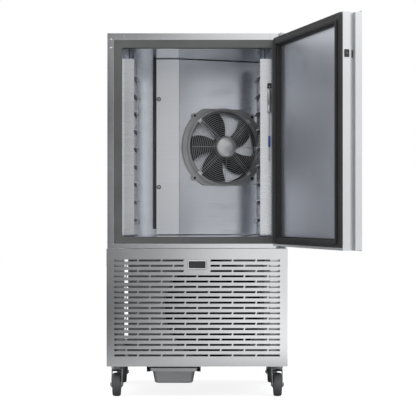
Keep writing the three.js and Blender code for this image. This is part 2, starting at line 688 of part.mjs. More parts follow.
/** Plate that carries the condenser fan in a round mouth. */
function fanShroud() {
  const { x, z, shroudY, hole } = CONDENSER_FAN;
  const sheet = 1.5;
  const left = -295;
  const right = 280;
  const bottom = UNDERSIDE + 2 + GAP;
  const top = 604;
  const plate = box(left, right, shroudY, shroudY + sheet, bottom, top);
  const collar = new THREE.CylinderGeometry(hole + sheet, hole + sheet, 34, 40).translate(x, shroudY + 17, z);
  const mouth = new THREE.CylinderGeometry(hole, hole, 90, 40).translate(x, shroudY + 17, z);
  const flange = (x0, x1) => box(x0, x1, shroudY, shroudY + 120, bottom, top);
  return cut(join(plate, collar, flange(left, left + sheet), flange(right - sheet, right)), mouth);
}

function condenserRotor() {
  const { x, y, z, blade: tip } = CONDENSER_FAN;
  return fanRotor(60, tip, 105, 44).rotateX(Math.PI / 2).translate(x, y, z);
}

/** Motor behind the condenser fan on four arms that reach forward to the shroud. */
function condenserMotor() {
  const { x, y, z, hole, shroudY } = CONDENSER_FAN;
  const front = y + 56;
  const can = turned([[0, 0], [40, 0], [46, 6], [46, 40], [40, 46], [0, 46]], 20)
    .rotateX(-Math.PI / 2);
  const foot = shroudY + 1.5 + GAP - front;
  const arms = [45, 135, 225, 315].map((degrees) =>
    extrude(foldedSheet([[30, 22], [hole + 30, 22], [hole + 30, foot]], 3), 22).translate(0, 0, -11)
      .rotateY(THREE.MathUtils.degToRad(degrees)));
  return join(can, ...arms).translate(x, front, z);
}

/** Finned condenser behind the fan. */
function condenserCoil() {
  return raised(finPack(-272, 17, 33.2, 6, 190, 250, 12), UNDERSIDE + 2 + GAP, 590);
}

/** Hermetic compressor: welded dome on rubber feet. */
function compressor() {
  const shell = turned([
    [0, 150], [70, 150], [88, 168], [92, 200], [92, 262], [96, 264], [96, 272], [92, 274],
    [88, 320], [64, 350], [0, 362],
  ], 16).translate(-150, 440, 0);
  const feet = [[-1, -1], [1, -1], [1, 1], [-1, 1]].map(([i, j]) =>
    turned([[0, 137 + GAP], [14, 137 + GAP], [11, 151], [0, 151]], 8)
      .translate(-150 + i * 78, 440 + j * 66, 0));
  const base = raised(roundedRect(-244, 360, -56, 520, 20), 150, 154);
  const terminal = box(-92, -48, 412, 470, 230, 300);
  return join(shell, base, ...feet, terminal);
}

function receiver() {
  const vessel = turned([
    [0, 137 + GAP], [34, 137 + GAP], [50, 150], [50, 352], [40, 374], [14, 382], [14, 392], [0, 392],
  ], 16);
  return vessel.translate(60, 520, 0);
}

/** Upright box for the electrics beside the fan, with its lid to the front. */
function electricalBox() {
  const foot = UNDERSIDE + 2 + GAP;
  const body = box(286, 352, 27, 200, foot, 588);
  const lid = box(284, 354, 22, 28, 160, 592);
  const glands = [60, 105, 150].map((y) =>
    turned([[0, 586], [11, 586], [11, 598], [7, 604], [0, 604]], 8).translate(319, y, 0));
  return join(body, lid, ...glands);
}

/** Hot gas line from the compressor's dome to the condenser. */
function dischargePipe() {
  return wire([
    [-150, 440, 362 + GAP], [-150, 440, 400], [-150, 400, 450], [-150, 300, 470],
    [-150, 270, 470], [-150, 250 + GAP, 470],
  ], 5, 3, 12);
}

/** Line from the condenser down into the receiver. */
function liquidPipe() {
  return wire([
    [60, 250 + GAP, 300], [60, 268, 300], [60, 330, 330], [60, 470, 420],
    [60, 520, 430], [60, 520, 410], [60, 520, 392 + GAP],
  ], 4, 3, 14);
}

/** Cold gas line from under the insulated cabinet to the compressor's side. */
function suctionPipe() {
  return wire([
    [-200, 560, DECK - GAP], [-200, 560, 520], [-150, 566, 420], [-150, 558, 300],
    [-150, 552, 240], [-150, 536, 232],
  ], 7, 3, 10);
}

// ---------------------------------------------------------------- condensate tray
/** Tray that slides on its turned-down rim: an open tapered box with round corners. */
function dripTray() {
  const { left, right, front, back, rim, lip, bottom } = TRAY;
  const loop = (inset, z, radius) => {
    const shape = roundedRect(left + inset, front + inset, right - inset, back - inset, radius);
    return shape.getPoints(2).slice(0, -1).map((p) => new THREE.Vector3(p.x, p.y, z));
  };
  return loft([
    loop(30, bottom, 18), loop(25, bottom + 5, 22), loop(12, rim - 1.5, 24), loop(1.8, rim - 1.5, 26),
    loop(1.8, lip, 26), loop(0.4, lip, 26), loop(0.4, rim, 26), loop(13.5, rim, 23),
    loop(26.5, bottom + 6, 21), loop(31, bottom + 1.8, 17),
  ]);
}

/** Folded rail under the base that the tray's rim rides in, side = -1 left, +1 right. */
function trayRail(side) {
  const { left, right, front, back, lip } = TRAY;
  const shelf = lip - GAP - SHEET;
  const rail = pushedBack(foldedSheet([
    [left - 8, UNDERSIDE - GAP], [left - 8, shelf], [left + 7, shelf],
  ]), front + 4, back + 14);
  const middle = (left + right) / 2;
  return side < 0 ? rail : mirrored(rail.translate(-middle, 0, 0)).translate(middle, 0, 0);
}

// ---------------------------------------------------------------- casters
// Drawn about the swivel axis at x = 0, y = 0; the wheel trails to the front.
function casterPlate() {
  const plate = raised(roundedRect(-23.5, -40, 23.5, 40, 6), UNDERSIDE - GAP - 3, UNDERSIDE - GAP);
  const race = turned([[0, 124], [20, 124], [23, 128], [23, UNDERSIDE - 2.5], [0, UNDERSIDE - 2.5]], 12);
  return join(plate, race);
}

function casterFork() {
  const head = turned([[0, 112], [22, 112], [26, 116], [26, 120], [22, 123.7], [0, 123.7]], 12);
  const cheek = new THREE.Shape();
  cheek.moveTo(-30, 115);
  cheek.lineTo(-TRAIL - 14, 56);
  cheek.absarc(-TRAIL, WHEEL_RADIUS, 14, Math.PI * 0.9, Math.PI * 1.85);
  cheek.lineTo(26, 108);
  cheek.lineTo(26, 115);
  const cheeks = [-23, 20].map((x) => across(cheek, x, x + 3, 2));
  const crown = box(-23, 23, -30, 26, 112, 115);
  const axle = new THREE.CylinderGeometry(5, 5, 52, 8).rotateZ(Math.PI / 2)
    .translate(0, -TRAIL, WHEEL_RADIUS);
  const heads = [-1, 1].map((side) => new THREE.CylinderGeometry(8, 8, 5, 6).rotateZ(Math.PI / 2)
    .translate(side * 25.4, -TRAIL, WHEEL_RADIUS));
  return join(head, crown, ...cheeks, axle, ...heads);
}

function casterWheel() {
  const r = WHEEL_RADIUS;
  const w = WHEEL_HALF;
  return turned([
    [5.4, -w - 1.5], [13, -w - 1.5], [15, 5 - w], [r - 12, 4 - w], [r - 4, -w], [r, 6 - w],
    [r, w - 6], [r - 4, w], [r - 12, w - 4], [15, w - 5], [13, w + 1.5], [5.4, w + 1.5],
    [5.4, -w - 1.5],
  ], 16).rotateY(Math.PI / 2).translate(0, -TRAIL, r);
}

/** Brake pedal over the tread, hung between the cheeks. */
function brakePedal() {
  const side = foldedSheet([[-8, 110.5], [-31, 110.2], [-58, 115], [-69, 112]], 3);
  const pad = across(side, -15, 15);
  const boss = new THREE.CylinderGeometry(3.6, 3.6, 38.6, 10).rotateZ(Math.PI / 2).translate(0, -12, 107.2);
  return join(pad, boss);
}

// ---------------------------------------------------------------- assembly
add(chiller, 'outer_casing', outerCasing(), brushedSteel);
add(chiller, 'insulation_foam', insulationFoam(), foamCream);
add(chiller, 'inner_liner', innerLiner(), linerSteel);
add(chiller, 'breaker_frame', breakerFrame(), breakerPlastic);
add(chiller, 'rack_left', trayRack(-1), linerSteel);
add(chiller, 'rack_right', trayRack(1), linerSteel);
add(chiller, 'evaporator_cover', evaporatorCover(), linerSteel);
add(chiller, 'coil_end_plate', coilEndPlate(), machineBlack);
add(chiller, 'evaporator_coil', evaporatorCoil(), finAluminium);

const fan = new THREE.Group();
const fanSeat = onCover(FAN_ALONG);
fan.position.set(fanSeat.x, fanSeat.y, FAN_HEIGHT);
fan.setRotationFromMatrix(new THREE.Matrix4().makeBasis(
  new THREE.Vector3(Math.cos(COVER_ANGLE), Math.sin(COVER_ANGLE), 0),
  new THREE.Vector3(0, 0, 1),
  new THREE.Vector3(Math.sin(COVER_ANGLE), -Math.cos(COVER_ANGLE), 0)));
chiller.add(fan);
add(fan, 'evaporator_fan_frame', fanFrame(), fanGrey);
add(fan, 'evaporator_fan_guard', fanGuard(), wireGrey);
add(fan, 'evaporator_fan_rotor', fanRotor(46, NOZZLE - 6, 92, 40).translate(0, 0, 8), fanBlack);
add(fan, 'evaporator_fan_motor', fanMotor(), motorSilver);

add(chiller, 'temperature_probe', temperatureProbe(), motorSilver);
add(chiller, 'probe_sleeve', probeSleeve(), probeBlue);
add(chiller, 'probe_clip', probeClip(), machineBlack);
add(chiller, 'hinge_bracket_upper', upperHinge(), zincSteel);
add(chiller, 'hinge_bracket_lower', lowerHinge(), zincSteel);

const hinge = new THREE.Group();
hinge.position.set(HINGE.x, HINGE.y, 0);
hinge.rotation.z = OPEN_ANGLE;
chiller.add(hinge);
const door = new THREE.Group();
door.position.set(-HINGE.x, -HINGE.y, 0);
hinge.add(door);
add(door, 'door_skin', doorSkin(), brushedSteel);
add(door, 'door_foam', doorFoam(), foamCream);
add(door, 'door_inner_panel', doorInnerPanel(), linerSteel);
add(door, 'door_ring', doorRing(), doorPlastic);
add(door, 'door_gasket', doorGasket(), rubberBlack);
add(door, 'door_edge_port', edgePort(), machineBlack);
add(door, 'control_panel', controlPanel(), blackGlass);
add(door, 'door_bush_upper', hingeBush(DOOR_TOP + GAP), doorPlastic);
add(door, 'door_bush_lower', hingeBush(DOOR_BOTTOM - GAP - BUSH.length), doorPlastic);

add(chiller, 'front_grille', frontGrille(), brushedSteel);
add(chiller, 'badge_plate', badgePlate(), machineBlack);
add(chiller, 'base_pan', basePan(), zincSteel);
add(chiller, 'side_panel_left', sidePanel(-1), brushedSteel);
add(chiller, 'side_panel_right', sidePanel(1), brushedSteel);
add(chiller, 'rear_panel', rearPanel(), zincSteel);
add(chiller, 'condenser_shroud', fanShroud(), zincSteel);
add(chiller, 'condenser_fan_rotor', condenserRotor(), fanBlack);
add(chiller, 'condenser_fan_motor', condenserMotor(), machineBlack);
add(chiller, 'condenser_coil', condenserCoil(), finAluminium);
add(chiller, 'compressor', compressor(), machineBlack);
add(chiller, 'liquid_receiver', receiver(), machineBlack);
add(chiller, 'electrical_box', electricalBox(), zincSteel);
add(chiller, 'discharge_pipe', dischargePipe(), copper);
add(chiller, 'liquid_pipe', liquidPipe(), copper);
add(chiller, 'suction_pipe', suctionPipe(), copper);
add(chiller, 'drip_tray', dripTray(), linerSteel);
add(chiller, 'tray_rail_left', trayRail(-1), zincSteel);
add(chiller, 'tray_rail_right', trayRail(1), zincSteel);

for (const [name, x, y] of [
  ['front_left', -CASTER_X, CASTER_FRONT], ['front_right', CASTER_X, CASTER_FRONT],
  ['rear_left', -CASTER_X, CASTER_REAR], ['rear_right', CASTER_X, CASTER_REAR],
]) {
  const caster = new THREE.Group();
  caster.position.set(x, y, 0);
  chiller.add(caster);
  add(caster, `${name}_caster_plate`, casterPlate(), zincSteel);
  add(caster, `${name}_caster_fork`, casterFork(), zincSteel);
  add(caster, `${name}_caster_wheel`, casterWheel(), tyreGrey);
  if (name.startsWith('front')) {
    add(caster, `${name}_brake_pedal`, brakePedal(), machineBlack);
  }
}

// The origin is the middle of the footprint, with the door open, on the floor.
const extent = new THREE.Box3().setFromObject(chiller, true);
chiller.position.set(
  -(extent.min.x + extent.max.x) / 2, -(extent.min.y + extent.max.y) / 2, -extent.min.z);

export default chiller;
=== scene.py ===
"""A reach-in blast chiller on casters, with its door standing open.

Lengths are in metres, in the frame of the chiller's CAD.
"""

import json
import math

import bmesh
import bpy
from mathutils import Matrix, Vector


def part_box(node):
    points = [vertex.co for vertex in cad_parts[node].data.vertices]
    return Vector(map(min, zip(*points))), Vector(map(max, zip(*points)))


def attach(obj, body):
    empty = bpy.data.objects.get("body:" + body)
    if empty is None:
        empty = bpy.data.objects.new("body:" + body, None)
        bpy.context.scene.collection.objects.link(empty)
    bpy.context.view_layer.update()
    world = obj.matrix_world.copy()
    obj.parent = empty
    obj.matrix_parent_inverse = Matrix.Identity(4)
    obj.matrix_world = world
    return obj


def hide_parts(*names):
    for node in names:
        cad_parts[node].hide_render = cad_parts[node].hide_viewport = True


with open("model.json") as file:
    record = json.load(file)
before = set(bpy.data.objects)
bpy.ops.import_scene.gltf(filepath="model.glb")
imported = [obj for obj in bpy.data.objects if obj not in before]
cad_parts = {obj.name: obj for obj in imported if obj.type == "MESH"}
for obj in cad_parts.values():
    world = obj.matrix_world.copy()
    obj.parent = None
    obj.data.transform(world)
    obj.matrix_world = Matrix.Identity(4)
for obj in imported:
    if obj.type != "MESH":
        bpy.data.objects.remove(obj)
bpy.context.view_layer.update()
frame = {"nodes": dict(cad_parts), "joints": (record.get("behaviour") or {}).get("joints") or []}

# ------------------------------------------------------------------ studio
# White studio walls, which the camera sees as plain white. A dim screen stands just left of the
# camera, so the front panels run from dark on their left to bright on their right.
scene = bpy.context.scene
scene.view_settings.view_transform = "Standard"

world = bpy.data.worlds.new("white studio")
scene.world = world
world.use_nodes = True
air = world.node_tree
air.nodes.clear()
direction = air.nodes.new("ShaderNodeTexCoord")
split = air.nodes.new("ShaderNodeSeparateXYZ")
sideways = air.nodes.new("ShaderNodeMapRange")
sideways.inputs["From Min"].default_value = -1.0
sideways.inputs["From Max"].default_value = 1.0
from_left = air.nodes.new("ShaderNodeValToRGB")
wall_white, screen_grey, screen_edge = 0.97, 0.06, 0.50
stops = from_left.color_ramp.elements
for stop, where in zip(stops, (0.0, 1.0)):
    stop.position = where
    stop.color = (wall_white, wall_white, wall_white, 1)
for where, grey in (
    (0.30, wall_white), (0.40, screen_grey), (0.462, screen_grey), (0.492, screen_edge),
    (0.513, wall_white),
):
    stops.new(where).color = (grey, grey, grey, 1)
wall_behind = 0.78
behind = air.nodes.new("ShaderNodeMapRange")
behind.inputs["From Min"].default_value = -0.2
behind.inputs["From Max"].default_value = 0.5
behind.inputs["To Max"].default_value = wall_behind
seen = air.nodes.new("ShaderNodeLightPath")
studio_light = air.nodes.new("ShaderNodeBackground")
studio_light.inputs["Color"].default_value = (0.985, 0.99, 1.0, 1)
white_wall = air.nodes.new("ShaderNodeBackground")
white_wall.inputs["Color"].default_value = (1, 1, 1, 1)
white_wall.inputs["Strength"].default_value = 1.0
either = air.nodes.new("ShaderNodeMixShader")
sky = air.nodes.new("ShaderNodeOutputWorld")
air.links.new(direction.outputs["Generated"], split.inputs[0])
air.links.new(split.outputs["X"], sideways.inputs["Value"])
air.links.new(sideways.outputs["Result"], from_left.inputs["Fac"])
air.links.new(split.outputs["Y"], behind.inputs["Value"])
air.links.new(from_left.outputs["Color"], behind.inputs["To Min"])
air.links.new(behind.outputs["Result"], studio_light.inputs["Strength"])
air.links.new(seen.outputs["Is Camera Ray"], either.inputs["Fac"])
air.links.new(studio_light.outputs[0], either.inputs[1])
air.links.new(white_wall.outputs[0], either.inputs[2])
air.links.new(either.outputs[0], sky.inputs["Surface"])

# ------------------------------------------------------------------ floor
# Pale studio floor with painted shade in front on the left, which the steel mirrors, and an even
# grey under the chiller. The camera sees it almost white, with the chiller's shadow on it.
floor_mesh = bpy.data.meshes.new("floor")
reach = 14
floor_mesh.from_pydata(
    [(-reach, -reach, 0), (reach, -reach, 0), (reach, reach, 0), (-reach, reach, 0)],
    [], [(0, 1, 2, 3)],
)
floor = bpy.data.objects.new("floor", floor_mesh)
scene.collection.objects.link(floor)
pale = bpy.data.materials.new("pale floor")
pale.use_nodes = True
ground = pale.node_tree
ground.nodes.clear()
dark_left, pale_right, under_chiller, floor_glow = 0.11, 0.97, 0.42, 0.84
spot = ground.nodes.new("ShaderNodeTexCoord")
sides = ground.nodes.new("ShaderNodeSeparateXYZ")
tint = ground.nodes.new("ShaderNodeMapRange")
tint.interpolation_type = "SMOOTHSTEP"
tint.inputs["From Min"].default_value = -0.95
tint.inputs["From Max"].default_value = 0.50
tint.inputs["To Min"].default_value = dark_left
tint.inputs["To Max"].default_value = pale_right
near = ground.nodes.new("ShaderNodeMapRange")
near.interpolation_type = "SMOOTHSTEP"
near.inputs["From Min"].default_value = -1.9
near.inputs["From Max"].default_value = -1.1
near.inputs["To Max"].default_value = under_chiller
matt = ground.nodes.new("ShaderNodeBsdfDiffuse")
glow = ground.nodes.new("ShaderNodeEmission")
path = ground.nodes.new("ShaderNodeLightPath")
bright = ground.nodes.new("ShaderNodeMath")
bright.operation = "MULTIPLY"
bright.inputs[1].default_value = floor_glow
both = ground.nodes.new("ShaderNodeAddShader")
out = ground.nodes.new("ShaderNodeOutputMaterial")
ground.links.new(spot.outputs["Object"], sides.inputs[0])
ground.links.new(sides.outputs["X"], tint.inputs["Value"])
ground.links.new(sides.outputs["Y"], near.inputs["Value"])
ground.links.new(tint.outputs["Result"], near.inputs["To Min"])
ground.links.new(near.outputs["Result"], matt.inputs["Color"])
ground.links.new(path.outputs["Is Camera Ray"], bright.inputs[0])
ground.links.new(bright.outputs[0], glow.inputs["Strength"])
ground.links.new(matt.outputs[0], both.inputs[0])
ground.links.new(glow.outputs[0], both.inputs[1])
ground.links.new(both.outputs[0], out.inputs["Surface"])
floor_mesh.materials.append(pale)

# ------------------------------------------------------------------ lamps
# Three soft lamp panels hang above the chiller: a weak one on the left, the main one on the right
# and one overhead. The camera doesn't see them.


def softbox(name, place, aim, width, height, power):
    """A soft lamp panel at a place in the studio, turned to an aim."""
    lamp = bpy.data.lights.new(name, "AREA")
    lamp.shape = "RECTANGLE"
    lamp.size = width
    lamp.size_y = height
    lamp.energy = power
    panel = bpy.data.objects.new(name, lamp)
    panel.location = place
    panel.rotation_euler = (Vector(aim) - Vector(place)).to_track_quat("-Z", "Y").to_euler()
    panel.visible_camera = False
    scene.collection.objects.link(panel)


softbox("left softbox", (-3.6, -2.4, 3.6), (0, 0.2, 0.9), 1.8, 1.8, 26)
softbox("right softbox", (2.2, -3.4, 4.0), (0, 0.2, 0.9), 2.0, 1.6, 60)
softbox("overhead softbox", (0, -0.6, 4.2), (0, 0.2, 0.6), 2.6, 2.6, 40)

# ------------------------------------------------------------------ camera
# The photograph was taken level, from straight in front of the cabinet. The focal length, the
# level line and the centre column are in pixels of the photograph.
casing_low, casing_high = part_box("outer_casing")
middle = (casing_low.x + casing_high.x) / 2
front = casing_low.y
photo_width = 416
focal_pixels = 1292
level_line = 215.3
centre_column = 197.1
camera_distance = 5.464
camera_height = 0.7695
camera_data = bpy.data.cameras.new("camera")
camera_data.sensor_width = 36
camera_data.lens = camera_data.sensor_width * focal_pixels / photo_width
camera_data.shift_x = (photo_width / 2 - centre_column) / photo_width
camera_data.shift_y = (level_line - photo_width / 2) / photo_width
camera = bpy.data.objects.new("camera", camera_data)
camera.location = (middle, front - camera_distance, camera_height)
camera.rotation_euler = (math.pi / 2, 0, 0)
scene.collection.objects.link(camera)
scene.camera = camera

# ------------------------------------------------------------------ outer casing
# Folded shell of the insulated cabinet, brushed stainless sheet. The bends have a small outside
# radius, so the front corners catch the light.


def noise(tree, scale, detail):
    """A cloud pattern of one size in a finish."""
    pattern = tree.nodes.new("ShaderNodeTexNoise")
    pattern.inputs["Scale"].default_value = scale
    pattern.inputs["Detail"].default_value = detail
    return pattern


def two_tones(tree, pattern, tint, drift, darkest_at, palest_at):
    """Lets the colour drift with a pattern, from a little darker than a tint to a little paler."""
    blend = tree.nodes.new("ShaderNodeValToRGB")
    dark, light = blend.color_ramp.elements[0], blend.color_ramp.elements[1]
    dark.position = darkest_at
    light.position = palest_at
    dark.color = (*[c * (1 - drift) for c in tint], 1)
    light.color = (*[min(c * (1 + drift), 1) for c in tint], 1)
    tree.links.new(pattern, blend.inputs["Fac"])
    tree.links.new(blend.outputs["Color"], tree.nodes["Principled BSDF"].inputs["Base Color"])


def worn(tree, pattern, shine, spread, least=0.0, most=1.0):
    """Lets the shine drift with a pattern, by a spread to both sides."""
    wear = tree.nodes.new("ShaderNodeMapRange")
    wear.inputs["From Min"].default_value = least
    wear.inputs["From Max"].default_value = most
    wear.inputs["To Min"].default_value = shine - spread
    wear.inputs["To Max"].default_value = shine + spread
    tree.links.new(pattern, wear.inputs["Value"])
    tree.links.new(wear.outputs["Result"], tree.nodes["Principled BSDF"].inputs["Roughness"])


def raised(tree, pattern, strength, distance):
    """Raises a pattern in the surface by a small distance."""
    bump = tree.nodes.new("ShaderNodeBump")
    bump.inputs["Strength"].default_value = strength
    bump.inputs["Distance"].default_value = distance
    tree.links.new(pattern, bump.inputs["Height"])
    tree.links.new(bump.outputs["Normal"], tree.nodes["Principled BSDF"].inputs["Normal"])


def rolled_sheet(name, tint, grain, shine, turn=0.0, cloud=0.05, depth=0.08):
    """Rolled metal: fine scratches drawn out along the grain, with cloudy wear of the shine."""
    steel = bpy.data.materials.new(name)
    steel.use_nodes = True
    tree = steel.node_tree
    tree.nodes["Principled BSDF"].inputs["Metallic"].default_value = 1.0
    place = tree.nodes.new("ShaderNodeTexCoord")
    turned_to = tree.nodes.new("ShaderNodeMapping")
    turned_to.inputs["Rotation"].default_value = (0, 0, turn)
    drawn = tree.nodes.new("ShaderNodeMapping")
    drawn.inputs["Scale"].default_value = grain
    scratches = noise(tree, 1.0, 4.0)
    scratches.inputs["Roughness"].default_value = 0.65
    clouds = noise(tree, 2.2, 3.0)
    tree.links.new(place.outputs["Object"], turned_to.inputs["Vector"])
    tree.links.new(turned_to.outputs["Vector"], drawn.inputs["Vector"])
    tree.links.new(drawn.outputs["Vector"], scratches.inputs["Vector"])
    tree.links.new(place.outputs["Object"], clouds.inputs["Vector"])
    scratch_share = 0.55
    mixed = tree.nodes.new("ShaderNodeMath")
    mixed.operation = "MULTIPLY_ADD"
    mixed.inputs[1].default_value = scratch_share
    tree.links.new(scratches.outputs["Fac"], mixed.inputs[0])
    tree.links.new(clouds.outputs["Fac"], mixed.inputs[2])
    two_tones(tree, mixed.outputs[0], tint, cloud, 0.45, 1.0)
    worn(tree, mixed.outputs[0], shine, 0.06, 0.4, 1.1)
    raised(tree, scratches.outputs["Fac"], depth, 0.00012)
    return steel


def fit(name, shape, material, body, stands_for=(), crease=35):
    """Turns a built-up shape into a piece of the chiller that rides on one of its bodies."""
    bmesh.ops.recalc_face_normals(shape, faces=shape.faces)
    mesh = bpy.data.meshes.new(name)
    shape.to_mesh(mesh)
    shape.free()
    for face in mesh.polygons:
        face.use_smooth = True
    mesh.set_sharp_from_angle(angle=math.radians(crease))
    mesh.materials.append(material)
    made = bpy.data.objects.new(name, mesh)
    scene.collection.objects.link(made)
    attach(made, body)
    if stands_for:
        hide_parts(*stands_for)
    return made


def cad_shape(node, weld=1e-5):
    """The shape of a CAD piece, with its doubled corners welded."""
    shape = bmesh.new()
    shape.from_mesh(frame["nodes"][node].data)
    bmesh.ops.remove_doubles(shape, verts=shape.verts, dist=weld)
    return shape


def eased(name, node, material, body, radius):
    """A sheet or moulding with its sharp edges eased to a small radius."""
    shape = cad_shape(node)
    flat_within, sharp_over = math.radians(1), math.radians(32)
    bmesh.ops.dissolve_limit(
        shape, angle_limit=flat_within, use_dissolve_boundaries=False,
        verts=shape.verts, edges=shape.edges,
    )
    bends = [
        edge for edge in shape.edges
        if len(edge.link_faces) == 2 and edge.calc_face_angle(0) > sharp_over
    ]
    bmesh.ops.bevel(
        shape, geom=bends, offset=radius, segments=2, profile=0.5, affect="EDGES",
        clamp_overlap=True,
    )
    made = fit(name, shape, material, body, stands_for=(node,))
    flats = made.modifiers.new("flat faces stay flat", "WEIGHTED_NORMAL")
    flats.keep_sharp = True
    return made


grain_across = (4, 90, 1100)
casing_tint = (0.80, 0.805, 0.815)
casing_steel = rolled_sheet("brushed casing steel", casing_tint, grain_across, 0.16, depth=0.05)
eased("casing_shell", "outer_casing", casing_steel, "cabinet", 0.0006)

# ------------------------------------------------------------------ plugs of the spare hinge holes
# Domed zinc-plated plugs close the spare hinge holes of the left-hand front flange, left over
# because the door can be hung on either side. They are pressed in.


def circle(place, radius, height, count):
    """Points of a circle round the axis of a placing matrix."""
    return [
        place @ Vector((
            radius * math.cos(2 * math.pi * i / count), radius * math.sin(2 * math.pi * i / count),
            height,
        ))
        for i in range(count)
    ]


def bridge(shape, low, high):
    """Closes the skin between two rings that have the same number of points."""
    for i in range(len(low)):
        k = (i + 1) % len(low)
        shape.faces.new((low[i], low[k], high[k], high[i]))


def turned(shape, profile, place, sides=64):
    """Adds a turned form: pairs of radius and height along the axis of a placing matrix."""
    rings = [
        [shape.verts.new(point) for point in circle(place, radius, height, sides)]
        for radius, height in profile
    ]
    for low, high in zip(rings, rings[1:]):
        bridge(shape, low, high)
    bmesh.ops.remove_doubles(shape, verts=[v for ring in rings for v in ring], dist=1e-7)


def facing_front(x, y, z):
    """Places a turned form with its axis towards the front of the cabinet."""
    return Matrix.Translation((x, y, z)) @ Matrix.Rotation(math.pi / 2, 4, "X")


plugs = bmesh.new()
plug_column = middle - 0.3637
for plug_height in (1.5121, 1.4766):
    turned(plugs, [
        (0, -0.0002), (0.0056, -0.0002), (0.0056, 0.0008), (0.0048, 0.0022), (0.0028, 0.0034),
        (0, 0.0038),
    ], facing_front(plug_column, front, plug_height), 24)
zinc = rolled_sheet("zinc plate", (0.42, 0.43, 0.44), (90, 90, 90), 0.42, cloud=0.14)
fit("spare_hole_plugs", plugs, zinc, "cabinet")

# ------------------------------------------------------------------ breaker frame
# Grey moulded frame between the warm shell and the cold liner, so that the cold doesn't reach the
# outside. It is moulded in one piece and snaps on.


def moulded(name, colour, matt, grain=900.0, depth=0.25, drift=0.12, coat_weight=0.0):
    """Moulded plastic: a fine pebble in the surface and a slight drift of its colour."""
    plastic = bpy.data.materials.new(name)
    plastic.use_nodes = True
    tree = plastic.node_tree
    tree.nodes["Principled BSDF"].inputs["Coat Weight"].default_value = coat_weight
    place = tree.nodes.new("ShaderNodeTexCoord")
    pebble = noise(tree, grain, 2.0)
    patches = noise(tree, 9.0, 5.0)
    tree.links.new(place.outputs["Object"], pebble.inputs["Vector"])
    tree.links.new(place.outputs["Object"], patches.inputs["Vector"])
    two_tones(tree, patches.outputs["Fac"], colour, drift, 0.3, 0.7)
    worn(tree, patches.outputs["Fac"], matt, 0.08)
    raised(tree, pebble.outputs["Fac"], depth, 0.0002)
    return plastic


breaker_plastic = moulded("grey breaker plastic", (0.096, 0.097, 0.097), 0.48)
eased("breaker_mouldings", "breaker_frame", breaker_plastic, "cabinet", 0.0007)

# ------------------------------------------------------------------ seams of the steel head
# The steel head above the breaker frame is in three lengths. A pale strip along each of the two
# seams between them is a painted highlight.


def slab(shape, low, high, place=Matrix.Identity(4)):
    """Adds a rectangular bar between two corners."""
    corners = [
        shape.verts.new(place @ Vector((x, y, z)))
        for x in (low[0], high[0]) for y in (low[1], high[1]) for z in (low[2], high[2])
    ]
    for a, b, c, d in (
        (0, 1, 3, 2), (4, 6, 7, 5), (0, 4, 5, 1), (2, 3, 7, 6), (0, 2, 6, 4), (1, 5, 7, 3),
    ):
        shape.faces.new((corners[a], corners[b], corners[c], corners[d]))


seam_highlight_grey = moulded("painted seam highlight", (0.42, 0.42, 0.43), 0.6)
frame_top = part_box("breaker_frame")[1].z
seam_half = 0.0006
head_seams = bmesh.new()
for across in (-0.3079, 0.3083):
    slab(
        head_seams,
        (middle + across - seam_half, front - 0.0002, frame_top + 0.002),
        (middle + across + seam_half, front + 0.0002, casing_high.z - 0.0005),
    )
fit("head_seams", head_seams, seam_highlight_grey, "cabinet")

# ------------------------------------------------------------------ insulation
# Two-part foam is poured between shell and liner and cures in place, cream coloured and open to
# view nowhere. It stays the CAD solid.


def coat(node, material):
    """Gives a CAD piece that keeps its shape its finish."""
    mesh = frame["nodes"][node].data
    mesh.materials.clear()
    mesh.materials.append(material)


foam = moulded("cream foam", (0.78, 0.70, 0.48), 0.92, grain=260.0, depth=0.6, drift=0.08)
coat("insulation_foam", foam)
coat("door_foam", foam)

# ------------------------------------------------------------------ chamber liner
# Stainless liner with coved corners, polished brighter than the shell, so that the back wall and
# the ceiling mirror the cover's edge and the racks.
liner_steel = rolled_sheet("bright liner steel", (0.78, 0.81, 0.86), (3, 3, 220), 0.22, depth=0.02)
coat("inner_liner", liner_steel)

# ------------------------------------------------------------------ tray racks
# One sheet of stainless on each side, folded to a channel. Each ledge is lanced out of the sheet
# and hemmed, which leaves a slot under it.
rack_steel = rolled_sheet("rack steel", (0.82, 0.835, 0.86), (3, 3, 240), 0.28, depth=0.03)
coat("rack_left", rack_steel)
coat("rack_right", rack_steel)

# ------------------------------------------------------------------ hooks for the probe's lead
# A small hook of drawn steel wire is riveted to each rack near its foot. The lead is laid in it, so
# that it hangs clear of the trays.


def rod(shape, points, radius, sides=10, closed=False):
    """Adds a round rod through a row of points."""
    points = [Vector(p) for p in points]
    count = len(points)
    rings = []
    side = None
    for i, at in enumerate(points):
        after = points[(i + 1) % count] if closed or i + 1 < count else at
        before = points[i - 1] if closed or i else at
        along = (after - before).normalized()
        if side is None:
            side = along.orthogonal().normalized()
        side = (side - along * side.dot(along)).normalized()
        other = along.cross(side)
        rings.append([
            shape.verts.new(at + radius * (
                side * math.cos(2 * math.pi * k / sides)
                + other * math.sin(2 * math.pi * k / sides)))
            for k in range(sides)
        ])
    for low, high in zip(rings, rings[1:]):
        bridge(shape, low, high)
    if closed:
        bridge(shape, rings[-1], rings[0])
    else:
        shape.faces.new(rings[0])
        shape.faces.new(rings[-1])


wire_steel = rolled_sheet("drawn wire", (0.45, 0.455, 0.46), (30, 30, 30), 0.38)
hooks = bmesh.new()
rack_face = 0.270
hook_line = (
    (-0.001, 0.389, 0.752), (0.007, 0.389, 0.752), (0.0085, 0.389, 0.746), (0.009, 0.388, 0.736),
    (0.007, 0.383, 0.731), (0.004, 0.378, 0.733), (0.003, 0.377, 0.740),
)
for wall in (-1, 1):
    rod(hooks, [
        (middle + wall * (rack_face - inward), front + depth, height)
        for inward, depth, height in hook_line
    ], 0.0015, 8)
fit("lead_hooks", hooks, wire_steel, "cabinet")

